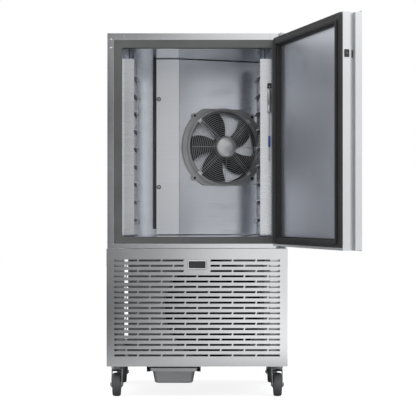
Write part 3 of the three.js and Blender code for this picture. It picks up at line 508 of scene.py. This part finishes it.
# ------------------------------------------------------------------ evaporator cover
# Folded stainless cover in front of the coil, flat on the left and angled behind the fan, so that
# the fan blows across the trays.
cover_steel = rolled_sheet("cover steel", (0.82, 0.835, 0.865), (3, 3, 260), 0.30, depth=0.03)
coat("evaporator_cover", cover_steel)
cover_low, cover_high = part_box("evaporator_cover")

# ------------------------------------------------------------------ fasteners of the cover
# Quarter-turn fasteners in zinc-plated steel hold the cover at its left edge. Each sits in a dark
# washer that keeps it from dropping out.
fastener_heights = (1.295, 0.897)
fastener_column = cover_low.x + 0.0105
fastener_seat = cover_low.y - 0.0003
fasteners = bmesh.new()
for height in fastener_heights:
    turned(fasteners, [
        (0, 0), (0.0072, 0), (0.0072, 0.0012), (0.0058, 0.0026), (0.002, 0.003), (0, 0.003),
    ], facing_front(fastener_column, fastener_seat, height), 28)
fit("cover_fasteners", fasteners, zinc, "cabinet")
# A near-black finish for screws, washers and rods, also laid as painted shade in a bend, a slot and
# a gap.
dark_parts_and_shade = moulded("dark parts and painted shade", (0.012, 0.012, 0.012), 0.8)
dishes = bmesh.new()
for height in fastener_heights:
    turned(dishes, [
        (0.0074, -0.0002), (0.0098, -0.0002), (0.0098, 0.0009), (0.0086, 0.0013),
        (0.0074, 0.0009), (0.0074, -0.0002),
    ], facing_front(fastener_column, fastener_seat, height), 28)
fit("fastener_washers", dishes, dark_parts_and_shade, "cabinet")

# ------------------------------------------------------------------ fold of the cover
# The stainless cover is bent along one line between its flat and its angled part. A fine dark
# strip along the bend is painted shade.
seam = bmesh.new()
fold_line = middle - 0.080
slab(
    seam,
    (fold_line - 0.0010, cover_low.y - 0.0003, cover_low.z + 0.001),
    (fold_line + 0.0002, cover_low.y + 0.0003, cover_high.z - 0.001),
)
fit("cover_fold_seam", seam, dark_parts_and_shade, "cabinet")

# ------------------------------------------------------------------ coil and its end plate
# The coil's painted end plate shows as a dark strip beside the cover, with the screws that hold
# the coil. The aluminium fins are behind the cover.
black_paint = moulded("black paint", (0.028, 0.029, 0.031), 0.42, grain=500.0)
coat("coil_end_plate", black_paint)
fins = rolled_sheet("mill fins", (0.90, 0.91, 0.92), (120, 6, 6), 0.55, cloud=0.03, depth=0.02)
coat("evaporator_coil", fins)
end_low, end_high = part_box("coil_end_plate")
screws = bmesh.new()
for height in (1.417, 1.066, 0.746):
    turned(
        screws, [(0, 0), (0.0036, 0), (0.0034, 0.0012), (0.0018, 0.002), (0, 0.002)],
        facing_front(end_high.x - 0.0072, end_low.y - 0.0002, height), 18,
    )
fit("end_plate_screws", screws, dark_parts_and_shade, "cabinet")

# ------------------------------------------------------------------ rack hangers
# Dark steel rods hang each rack from the ceiling of the chamber, one near the front and one at
# the back. The rack lifts off them for cleaning.
rack_low, rack_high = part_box("rack_left")
hanger_aside, hanger_gauge, hanger_top = 0.2897, 0.0019, 1.4785
hangers = bmesh.new()
for wall in (-1, 1):
    for depth in (rack_low.y + 0.0045, rack_high.y - 0.012):
        rod(hangers, [
            (middle + wall * hanger_aside, depth, height)
            for height in (rack_high.z - 0.001, hanger_top)
        ], hanger_gauge, 12)
fit("rack_hangers", hangers, dark_parts_and_shade, "cabinet")

# ------------------------------------------------------------------ evaporator fan frame
# Moulded grey ring plate with flats at top and bottom and a rolled nozzle, screwed to the cover at
# four lugs.


def diagonal(quarter):
    """Turns a form about the axis of a fan to one of the four diagonals."""
    return Matrix.Rotation(math.radians(45 + 90 * quarter), 4, "Z")


fan_joint = next(j for j in frame["joints"] if j["name"] == "evaporator_fan_spin")
fan_out = Vector(fan_joint["axis"]).normalized()
fan_across = Vector((-fan_out.y, fan_out.x, 0))
fan_place = Matrix.Translation(Vector(fan_joint["pos_m"])) @ Matrix(
    (fan_across, Vector((0, 0, 1)), fan_out)).transposed().to_4x4()
nozzle = 0.163
plate_gap = 0.003
plate_radius = 0.200
plate_flat = 0.175
plate_sides = 192
nozzle_sides = 128

fan_grey = moulded("grey fan moulding", (0.40, 0.405, 0.405), 0.44)
ring = bmesh.new()
loops = []
for share, height in ((0, 0.0003), (1, 0.0003), (1, 0.0098), (0.97, 0.0113), (0, 0.0113)):
    loop = []
    for i in range(plate_sides):
        angle = 2 * math.pi * i / plate_sides
        outside = min(plate_radius, plate_flat / max(abs(math.sin(angle)), 1e-6))
        radius = nozzle + plate_gap + (outside - nozzle - plate_gap) * share
        loop.append(ring.verts.new(
            fan_place @ Vector((radius * math.cos(angle), radius * math.sin(angle), height))))
    loops.append(loop)
for low, high in zip(loops, loops[1:] + loops[:1]):
    bridge(ring, low, high)
turned(ring, [
    (nozzle + 0.005, -0.027), (nozzle + 0.005, 0.012), (nozzle + 0.010, 0.0145),
    (nozzle + 0.0145, 0.0185), (nozzle + 0.0138, 0.0222), (nozzle + 0.009, 0.0232),
    (nozzle + 0.003, 0.0195), (nozzle, 0.013), (nozzle, -0.027), (nozzle + 0.005, -0.027),
], fan_place, nozzle_sides)
lug_root, lug_half = 0.172, 0.013
lug_hole, lug_round = 0.1995, 0.0125
lug_outline = [(lug_root, -lug_half)] + [
    (lug_hole + lug_round * math.cos(math.radians(a)), lug_round * math.sin(math.radians(a)))
    for a in range(-90, 91, 15)
] + [(lug_root, lug_half)]
for quarter in range(4):
    lug = fan_place @ diagonal(quarter)
    low = [ring.verts.new(lug @ Vector((x, y, 0.0003))) for x, y in lug_outline]
    high = [ring.verts.new(lug @ Vector((x, y, 0.0125))) for x, y in lug_outline]
    ring.faces.new(low)
    ring.faces.new(high)
    bridge(ring, low, high)
fit("fan_ring_plate", ring, fan_grey, "cabinet", ("evaporator_fan_frame",))

# ------------------------------------------------------------------ nozzle wall and lug screws
# A black lining on the nozzle's inner wall is painted shade, so that the gap round the blades shows
# dark. The nozzle's inner wall is lined in black, so that the blades' gap doesn't show. A dark
# pan-head screw holds each lug to the cover.
nozzle_lining = bmesh.new()
turned(nozzle_lining, [
    (nozzle - 0.0003, 0.0125), (nozzle - 0.0003, -0.0265), (nozzle - 0.0012, -0.0265),
    (nozzle - 0.0012, 0.0118), (nozzle - 0.0003, 0.0125),
], fan_place, nozzle_sides)
nozzle_shade_black = moulded("painted nozzle shade", (0.016, 0.016, 0.017), 0.5)
fit("nozzle_sleeve", nozzle_lining, nozzle_shade_black, "cabinet")

lug_screws = bmesh.new()
for quarter in range(4):
    at_lug = diagonal(quarter) @ Matrix.Translation((lug_hole, 0, 0.0124))
    turned(
        lug_screws, [(0, 0), (0.0058, 0), (0.0058, 0.001), (0.0042, 0.003), (0, 0.0036)],
        fan_place @ at_lug, 20,
    )
fit("fan_lug_screws", lug_screws, dark_parts_and_shade, "cabinet")

# ------------------------------------------------------------------ evaporator fan guard
# Domed basket of coated steel wire: concentric rings welded to radial wires, in pairs on the
# diagonals, where feet reach down to the frame. Pale plastic clips hold the feet.
guard = bmesh.new()
gauge = 0.0010
guard_wire = rolled_sheet("coated guard wire", (0.46, 0.465, 0.47), (30, 30, 30), 0.36)
ring_count = 14
guard_outer = 0.161
guard_inner = 0.0512
pair_half = 0.006
radial_drop = 0.0022


def dome(radius):
    """Height of the guard above the cover at a radius."""
    return 0.030 + 0.022 * math.cos(radius / nozzle * math.pi / 2)


for i in range(ring_count):
    radius = guard_outer - i * (guard_outer - guard_inner) / (ring_count - 1)
    rod(guard, circle(fan_place, radius, dome(radius), 72), gauge, 8, closed=True)
radii = [guard_inner + (guard_outer - guard_inner) * k / 8 for k in range(9)]
foot_line = ((0.1580, 0.0290), (0.1640, 0.0282), (0.1685, 0.0262), (0.1700, 0.0232))
for eighth in range(8):
    spin = fan_place @ Matrix.Rotation(math.radians(45 * eighth), 4, "Z")
    for aside in ((-pair_half, pair_half) if eighth % 2 else (0,)):
        rod(guard, [
            spin @ Vector((radius, aside, dome(radius) - radial_drop)) for radius in radii
        ], gauge, 8)
        if aside:
            rod(guard, [spin @ Vector((x, aside, z)) for x, z in foot_line], gauge, 8)
fit("guard_wires", guard, guard_wire, "cabinet", ("evaporator_fan_guard",))
clips = bmesh.new()
for quarter in range(4):
    slab(
        clips, (0.1600, -0.0100, 0.0215), (0.1745, 0.0100, 0.0262),
        fan_place @ diagonal(quarter),
    )
bmesh.ops.bevel(
    clips, geom=clips.edges[:], offset=0.0009, segments=2, profile=0.5, affect="EDGES"
)
clip_white = moulded("pale guard clips", (0.86, 0.86, 0.86), 0.4)
fit("guard_clips", clips, clip_white, "cabinet")

# ------------------------------------------------------------------ evaporator fan rotor
# Five swept blades moulded with their hub in dark plastic, pushed onto the motor. It is drawn at
# the angle at which the fan stopped.


def bladed_rotor(shape, place, hub, tip, chord, depth, blades=5):
    """Adds a hub with twisted, swept and cambered blades."""
    turned(shape, [
        (0, -depth), (hub * 0.94, -depth), (hub, -depth * 0.94), (hub, -0.003), (hub * 0.93, 0),
        (0, 0),
    ], place, 64)
    stations, across = 14, 10
    camber, half_thick, sunk_in_hub = 0.006, 0.0014, 0.004
    for n in range(blades):
        spin = place @ Matrix.Rotation(2 * math.pi * n / blades, 4, "Z")
        spin = spin @ Matrix.Translation((0, 0, -depth / 2))
        faces = {}
        for skin in (1, -1):
            for i in range(stations):
                t = i / (stations - 1)
                radius = hub - sunk_in_hub + (tip - hub + sunk_in_hub) * t
                pitch = math.radians(30 - 11 * t)
                lean = math.radians(16) * t * t
                width = chord * (0.52 + 0.58 * t - 0.16 * t ** 6)
                for k in range(across):
                    s = 2 * k / (across - 1) - 1
                    c = s * width / 2
                    h = camber * (1 - s * s) + skin * half_thick * (1 - s ** 6)
                    around = (c * math.cos(pitch) - h * math.sin(pitch)) / radius + lean
                    height = c * math.sin(pitch) + h * math.cos(pitch)
                    faces[skin, i, k] = shape.verts.new(spin @ Vector((
                        radius * math.cos(around), radius * math.sin(around), height)))
            for i in range(stations - 1):
                for k in range(across - 1):
                    shape.faces.new((faces[skin, i, k], faces[skin, i + 1, k],
                                     faces[skin, i + 1, k + 1], faces[skin, i, k + 1]))
        rim = [(i, 0) for i in range(stations)]
        rim += [(stations - 1, k) for k in range(1, across)]
        rim += [(i, across - 1) for i in range(stations - 2, -1, -1)]
        rim += [(0, k) for k in range(across - 2, 0, -1)]
        for a, b in zip(rim, rim[1:] + rim[:1]):
            shape.faces.new((faces[(1, *a)], faces[(1, *b)], faces[(-1, *b)], faces[(-1, *a)]))


fan_black = moulded("dark fan plastic", (0.020, 0.021, 0.022), 0.48)
rotor = bmesh.new()
stopped_at = math.radians(24)
standing = Matrix.Translation((0, 0, 0.008)) @ Matrix.Rotation(stopped_at, 4, "Z")
bladed_rotor(rotor, fan_place @ standing, 0.046, nozzle - 0.006, 0.116, 0.040)
fit(
    "evaporator_blades", rotor, fan_black, "evaporator_fan",
    ("evaporator_fan_rotor",), 50,
)

# ------------------------------------------------------------------ evaporator fan motor
# The motor's turned cap in silver-grey metal stands in the middle of the guard, with a bead round
# its face and a raised boss, left bare.
motor_grey = rolled_sheet("silver motor cap", (0.74, 0.745, 0.745), (40, 40, 40), 0.5, cloud=0.06)
motor = bmesh.new()
turned(motor, [
    (0, 0.0092), (0.046, 0.0092), (0.0485, 0.0105), (0.0495, 0.013), (0.0495, 0.040),
    (0.0492, 0.0425), (0.0470, 0.0500), (0.0440, 0.0535), (0.0435, 0.0530), (0.0425, 0.0545),
    (0.034, 0.0590), (0.024, 0.0618), (0.0235, 0.0612), (0.0225, 0.0622), (0.012, 0.0640),
    (0, 0.0646),
], fan_place, 72)
fit(
    "evaporator_motor_cap", motor, motor_grey, "cabinet",
    ("evaporator_fan_motor",), 24,
)

# ------------------------------------------------------------------ temperature probe
# Turned steel needle with a thicker grip, hung by its neck from a clip on the right-hand rack. The
# blue plastic sleeve keeps the needle's shoulder dry.
probe_low, probe_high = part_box("temperature_probe")
probe_x = (probe_low.x + probe_high.x) / 2
probe_y = (probe_low.y + probe_high.y) / 2
upright = Matrix.Translation((probe_x, probe_y, 0))
probe = bmesh.new()
turned(probe, [
    (0, 0.997), (0.0009, 1.000), (0.0014, 1.006), (0.0018, 1.017), (0.0018, 1.202),
    (0.0034, 1.204), (0.0055, 1.207), (0.0080, 1.211), (0.0080, 1.236), (0.0072, 1.238),
    (0.0072, 1.241), (0.0080, 1.243), (0.0081, 1.290), (0.0076, 1.297), (0.0058, 1.3065),
    (0.0026, 1.308), (0.0026, 1.3144), (0.0058, 1.3148), (0.0060, 1.3180), (0.0044, 1.3205),
    (0, 1.3216),
], upright, 32)
fit("probe_needle", probe, wire_steel, "cabinet", ("temperature_probe",), 30)
blue = moulded("blue probe sleeve", (0.035, 0.10, 0.46), 0.42)
sleeve = bmesh.new()
turned(sleeve, [
    (0.0023, 1.061), (0.0042, 1.061), (0.0046, 1.0625), (0.0046, 1.1065), (0.0042, 1.108),
    (0.0023, 1.108), (0.0023, 1.061),
], upright, 28)
fit("blue_sleeve", sleeve, blue, "cabinet", ("probe_sleeve",))
black_plastic = moulded("black plastic", (0.022, 0.022, 0.024), 0.45)
coat("probe_clip", black_plastic)

# ------------------------------------------------------------------ hinge brackets and bushes
# Two zinc-plated angles are screwed to the front flange, one above the door and one under it. Each
# carries a pin that turns in a plastic bush of the door.
coat("hinge_bracket_upper", zinc)
coat("hinge_bracket_lower", zinc)
door_plastic = moulded("dark door plastic", (0.030, 0.030, 0.030), 0.48)
coat("door_bush_upper", door_plastic)
coat("door_bush_lower", door_plastic)

# ------------------------------------------------------------------ door skin
# Folded stainless pan with a grip channel down its free edge, filled with foam. It is brushed
# across its width, so its grain follows the door.
door_joint = next(j for j in frame["joints"] if j["name"] == "door_hinge")
pivot = Vector(door_joint["pos_m"])
opened = -math.radians(door_joint["range_deg"][0])
door_place = (
    Matrix.Translation(pivot) @ Matrix.Rotation(opened, 4, "Z") @ Matrix.Translation(-pivot)
)
door_steel = rolled_sheet(
    "brushed door steel", (0.68, 0.69, 0.70), grain_across, 0.34, turn=-opened
)
eased("door_pan", "door_skin", door_steel, "door", 0.0005)

# ------------------------------------------------------------------ door ring
# A dark moulded ring frames the inside of the door. Fine ridges run round it, which stiffen it and
# guide the gasket.


def round_corners(half, bottom, top, corner, bend=8):
    """Points of an upright rectangle with round corners, each with its outward direction."""
    line = []
    for cx, cz, start in (
        (half - corner, bottom + corner, -90), (half - corner, top - corner, 0),
        (corner - half, top - corner, 90), (corner - half, bottom + corner, 180),
    ):
        for i in range(bend + 1):
            angle = math.radians(start + 90 * i / bend)
            away = Vector((math.cos(angle), 0, math.sin(angle)))
            line.append((Vector((cx, 0, cz)) + corner * away, away))
    return line


def run_round(shape, line, section, place):
    """Adds a closed strip along a line, its section in pairs of outward offset and depth."""
    rings = [
        [
            shape.verts.new(place @ (at + away * out + Vector((0, depth, 0))))
            for out, depth in section
        ]
        for at, away in line
    ]
    for low, high in zip(rings, rings[1:] + rings[:1]):
        bridge(shape, low, high)


on_door = door_place @ Matrix.Translation((middle, front, 0))
coat("door_ring", door_plastic)
ridges = bmesh.new()
for half, bottom, top, corner in (
    (0.3195, 0.6815, 1.4815, 0.006), (0.3490, 0.6545, 1.5005, 0.012),
    (0.3545, 0.6525, 1.5050, 0.013), (0.3600, 0.6515, 1.5085, 0.014),
    (0.3685, 0.6508, 1.5125, 0.015),
):
    run_round(
        ridges, round_corners(half, bottom, top, corner),
        [(-0.0011, -0.0079), (-0.0006, -0.0070), (0.0006, -0.0070), (0.0011, -0.0079)], on_door,
    )
fit("door_ring_ridges", ridges, door_plastic, "door")

# ------------------------------------------------------------------ door gasket
# Magnetic gasket in black rubber with a hollow bulb, pushed into the ring's groove all round. It
# closes on the breaker frame.
# The gasket's black rubber finish is also laid as painted shade at the inner panel's edge.
gasket_rubber_and_shade = moulded("black gasket rubber and painted shade", (0.014, 0.014, 0.015), 0.62, grain=700.0)
gasket = bmesh.new()
run_round(gasket, round_corners(0.331, 0.668, 1.488, 0.010), [
    (-0.0030, -0.0093), (-0.0030, -0.0079), (-0.0085, -0.0076), (-0.0088, -0.0062),
    (-0.0080, -0.0048), (-0.0086, -0.0034), (-0.0078, -0.0022), (-0.0055, -0.0016),
    (-0.0050, -0.0008), (-0.0035, -0.0006), (0.0035, -0.0006), (0.0050, -0.0008),
    (0.0055, -0.0016), (0.0078, -0.0022), (0.0086, -0.0034), (0.0080, -0.0048),
    (0.0088, -0.0062), (0.0085, -0.0076), (0.0030, -0.0079), (0.0030, -0.0093),
], on_door)
fit("bulb_gasket", gasket, gasket_rubber_and_shade, "door", ("door_gasket",), 40)

# ------------------------------------------------------------------ door inner panel
# Pressed stainless panel inside the ring, brushed across its width as the skin is. A thin black
# strip along its edge is painted shade on the step down from the ring.
panel_steel = rolled_sheet(
    "door panel steel", (0.69, 0.715, 0.77), grain_across, 0.34, turn=-opened
)
coat("door_inner_panel", panel_steel)
lip = bmesh.new()
run_round(lip, round_corners(0.3152, 0.6788, 1.4772, 0.0045), [
    (-0.0012, -0.0229), (0.0006, -0.0229), (0.0006, -0.0086), (0.0, -0.0080),
    (-0.0008, -0.0086),
], on_door)
fit("door_panel_shade_strip", lip, gasket_rubber_and_shade, "door")

# ------------------------------------------------------------------ door edge port and touch panel
# A capped service port in black plastic sits in the free edge, beside the catch slot of the grip
# channel. The touch panel is a flush black glass on the outside of the door, left bare.
coat("door_edge_port", black_plastic)
free_edge = (
    on_door @ Matrix.Translation((-0.3832, -0.0275, 1.362))
    @ Matrix.Rotation(-math.pi / 2, 4, "Y")
)
port_cap = bmesh.new()
turned(
    port_cap, [(0, -0.0002), (0.0022, -0.0002), (0.0022, 0.0003), (0.0014, 0.0008), (0, 0.0009)],
    free_edge, 24,
)
pale_cap = moulded("pale port cap", (0.30, 0.30, 0.30), 0.4)
fit("port_cap_centre", port_cap, pale_cap, "door")
# The catch slot is a thin dark patch on the skin: painted shade for its opening.
catch = bmesh.new()
slab(catch, (-0.3584, -0.0590, 1.348), (-0.3578, -0.0550, 1.376), on_door)
fit("catch_slot", catch, dark_parts_and_shade, "door")
panel_glass = moulded(
    "black panel glass", (0.006, 0.006, 0.007), 0.16, grain=60.0, depth=0.02, coat_weight=0.6
)
coat("control_panel", panel_glass)

# ------------------------------------------------------------------ slotted front panel
# Stainless pan with rows of punched slots, staggered by half a slot from row to row. The slots are
# opened to their full height here, and the faces are kept flat.
grille_steel = rolled_sheet("brushed grille steel", casing_tint, grain_across, 0.16, depth=0.05)
slotted = cad_shape("front_grille")
top_row, row_pitch, row_count = 0.580, 0.0221, 19
half_slot, taller_by = 0.0034, 0.0009
for corner in slotted.verts:
    row = round((top_row - corner.co.z) / row_pitch)
    off_line = corner.co.z - (top_row - row * row_pitch)
    if 0 <= row < row_count and abs(abs(off_line) - half_slot) < 0.0002:
        corner.co.z += math.copysign(taller_by, off_line)
slotted_front = fit(
    "slotted_front", slotted, grille_steel, "cabinet", ("front_grille",)
)
for face in slotted_front.data.polygons:
    face.use_smooth = False

# ------------------------------------------------------------------ badge
# A bare black plate sits in a raised surround of bright trim at the top of the slotted panel. A
# dark ring round the surround is painted shadow in the gap beside it.
coat("badge_plate", black_paint)
badge_low, badge_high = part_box("badge_plate")
badge_centre = (badge_low + badge_high) / 2
badge_half = (badge_high.x - badge_low.x) / 2
badge_place = Matrix.Translation((badge_centre.x, badge_low.y, 0))
surround = bmesh.new()
run_round(
    surround,
    round_corners(badge_half - 0.0002, badge_low.z + 0.0002, badge_high.z - 0.0002, 0.0068),
    [
        (0, 0.0026), (0, -0.0004), (-0.0008, -0.0010), (-0.0030, -0.0010), (-0.0038, -0.0004),
        (-0.0038, 0.0010),
    ],
    badge_place,
)
trim = rolled_sheet("bright badge trim", (0.93, 0.93, 0.93), (40, 40, 40), 0.5)
fit("badge_surround", surround, trim, "cabinet")
seat = bmesh.new()
run_round(
    seat,
    round_corners(badge_half + 0.0012, badge_low.z - 0.0012, badge_high.z + 0.0012, 0.008),
    [(0, 0.0030), (0, 0.0022), (-0.0010, 0.0022), (-0.0010, 0.0030)],
    badge_place,
)
fit("badge_shadow_ring", seat, dark_parts_and_shade, "cabinet")

# ------------------------------------------------------------------ machine bay panels
# Side panels in the same stainless as the front, a zinc-plated pan underneath and a zinc-plated
# cover with vents at the back.
eased("bay_side_left", "side_panel_left", casing_steel, "cabinet", 0.0005)
eased("bay_side_right", "side_panel_right", casing_steel, "cabinet", 0.0005)
coat("base_pan", zinc)
coat("rear_panel", zinc)

# ------------------------------------------------------------------ condensing unit
# The condenser coil stands behind its fan's shroud. Compressor and receiver are
# black, the lines are copper, and the electrics are in a plated box.
shroud_steel = rolled_sheet(
    "dull shroud steel", (0.30, 0.305, 0.315), (70, 70, 70), 0.5, cloud=0.2
)
coat("condenser_shroud", shroud_steel)
# Coil, fan motor, fan blades and finger guard share a near-black with little reflection: painted
# shade of the dim bay.
bay_shade_black = moulded("painted bay shade", (0.006, 0.006, 0.0065), 0.8)
bay_shade_black.node_tree.nodes["Principled BSDF"].inputs["Specular IOR Level"].default_value = 0.06
coat("condenser_coil", bay_shade_black)
coat("compressor", black_paint)
coat("liquid_receiver", black_paint)
coat("condenser_fan_motor", bay_shade_black)
coat("electrical_box", zinc)
copper = rolled_sheet("copper line", (0.72, 0.38, 0.23), (40, 40, 40), 0.30, cloud=0.12)
for line in ("discharge_pipe", "liquid_pipe", "suction_pipe"):
    coat(line, copper)

# ------------------------------------------------------------------ condenser fan
# Five blades on a hub draw air through the slots into the condenser. A finger guard of welded wire
# rings and four spokes stands in front of them.
cond_joint = next(j for j in frame["joints"] if j["name"] == "condenser_fan_spin")
cond_place = facing_front(cond_joint["pos_m"][0], front + 0.078, cond_joint["pos_m"][2])
# The blades and the finger guard are near-black as painted shade of the dim bay.
draught = bmesh.new()
bladed_rotor(draught, cond_place, 0.060, 0.2035, 0.105, 0.044)
fit(
    "condenser_blades", draught, bay_shade_black, "condenser_fan",
    ("condenser_fan_rotor",), 50,
)

finger_guard = bmesh.new()
for i in range(11):
    radius = 0.215 - i * 0.0168
    rod(finger_guard, circle(cond_place, radius, 0.0205, 64), 0.0014, 6, closed=True)
for spoke in range(4):
    spin = cond_place @ diagonal(spoke)
    rod(finger_guard, [spin @ Vector((x, 0, 0.0195)) for x in (0.045, 0.12, 0.222)], 0.0022, 8)
fit("condenser_finger_guard", finger_guard, bay_shade_black, "cabinet")

# ------------------------------------------------------------------ condensate tray and rails
# Pressed stainless tray with round corners and a turned-down rim, which hangs in two folded rails
# and slides out to the front.
tray_steel = rolled_sheet("tray steel", (0.50, 0.505, 0.51), (5, 5, 200), 0.42)
coat("tray_rail_left", zinc)
coat("tray_rail_right", zinc)
tray_low, tray_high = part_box("drip_tray")


def tray_loop(shape, inset, height, corner, bend=8):
    """One level of the tray: a plan rectangle with round corners."""
    low = Vector((tray_low.x + inset, tray_low.y + inset))
    high = Vector((tray_high.x - inset, tray_high.y - inset))
    loop = []
    for cx, cy, start in (
        (high.x - corner, low.y + corner, -90), (high.x - corner, high.y - corner, 0),
        (low.x + corner, high.y - corner, 90), (low.x + corner, low.y + corner, 180),
    ):
        for i in range(bend + 1):
            angle = math.radians(start + 90 * i / bend)
            loop.append(shape.verts.new((
                cx + corner * math.cos(angle), cy + corner * math.sin(angle), height)))
    return loop


tray = bmesh.new()
floor_of_tray, rim = tray_low.z, tray_high.z
levels = [
    tray_loop(tray, inset, height, corner) for inset, height, corner in (
        (0.0340, floor_of_tray, 0.015), (0.0290, floor_of_tray + 0.0010, 0.018),
        (0.0255, floor_of_tray + 0.0045, 0.021), (0.0245, floor_of_tray + 0.0080, 0.022),
        (0.0130, rim - 0.0030, 0.024), (0.0118, rim - 0.0015, 0.0245),
        (0.0022, rim - 0.0015, 0.026), (0.0018, rim - 0.0022, 0.026),
        (0.0018, rim - 0.0147, 0.026), (0, rim - 0.0147, 0.0265), (0, rim - 0.0010, 0.0265),
        (0.0010, rim, 0.026), (0.0125, rim, 0.0235), (0.0140, rim - 0.0010, 0.023),
        (0.0260, floor_of_tray + 0.0085, 0.020), (0.0285, floor_of_tray + 0.0040, 0.018),
        (0.0340, floor_of_tray + 0.0016, 0.015),
    )
]
for low, high in zip(levels, levels[1:]):
    bridge(tray, low, high)
tray.faces.new(levels[0])
tray.faces.new(levels[-1])
fit("condensate_tray", tray, tray_steel, "tray", ("drip_tray",), 30)

# ------------------------------------------------------------------ casters
# Swivel casters bolted under the corners: a plate with its race, a pressed fork, and a grey
# non-marking wheel on a bolt. The front pair have a brake pedal over the tread.
tread = moulded("grey wheel rubber", (0.085, 0.088, 0.092), 0.62, grain=420.0)
wheel_hub = moulded("pale wheel hub", (0.20, 0.205, 0.21), 0.45)
fork_zinc = rolled_sheet("plated fork", (0.48, 0.49, 0.51), (60, 60, 60), 0.36, cloud=0.14)
pedal_plastic = moulded("dark pedal", (0.050, 0.051, 0.053), 0.5)
wheel_radius = 0.050
for corner in ("front_left", "front_right", "rear_left", "rear_right"):
    wheel_low, wheel_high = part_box(f"{corner}_caster_wheel")
    wheel_centre = (wheel_low + wheel_high) / 2
    axle = Matrix.Translation(wheel_centre) @ Matrix.Rotation(math.pi / 2, 4, "Y")
    rolling = bmesh.new()
    turned(rolling, [
        (0.0380, -0.0135), (0.0395, -0.0158), (0.0440, -0.0170), (0.0468, -0.0160),
        (0.0488, -0.0125), (0.0499, -0.0060), (wheel_radius, 0), (0.0499, 0.0060),
        (0.0488, 0.0125), (0.0468, 0.0160), (0.0440, 0.0170), (0.0395, 0.0158),
        (0.0380, 0.0135), (0.0380, -0.0135),
    ], axle, 72)
    fit(
        f"{corner}_tread", rolling, tread, f"{corner}_roller",
        (f"{corner}_caster_wheel",),
    )
    centre = bmesh.new()
    turned(centre, [
        (0.0056, -0.0184), (0.0125, -0.0184), (0.0135, -0.0175), (0.0150, -0.0120),
        (0.0360, -0.0120), (0.0381, -0.0138), (0.0381, 0.0138), (0.0360, 0.0120),
        (0.0150, 0.0120), (0.0135, 0.0175), (0.0125, 0.0184), (0.0056, 0.0184),
        (0.0056, -0.0184),
    ], axle, 72)
    fit(f"{corner}_wheel_hub", centre, wheel_hub, f"{corner}_roller")
    eased(
        f"{corner}_fork", f"{corner}_caster_fork", fork_zinc, f"{corner}_swivel",
        0.0006,
    )
    coat(f"{corner}_caster_plate", zinc)
for corner in ("front_left", "front_right"):
    eased(
        f"{corner}_pedal", f"{corner}_brake_pedal", pedal_plastic, f"{corner}_pedal",
        0.0007,
    )
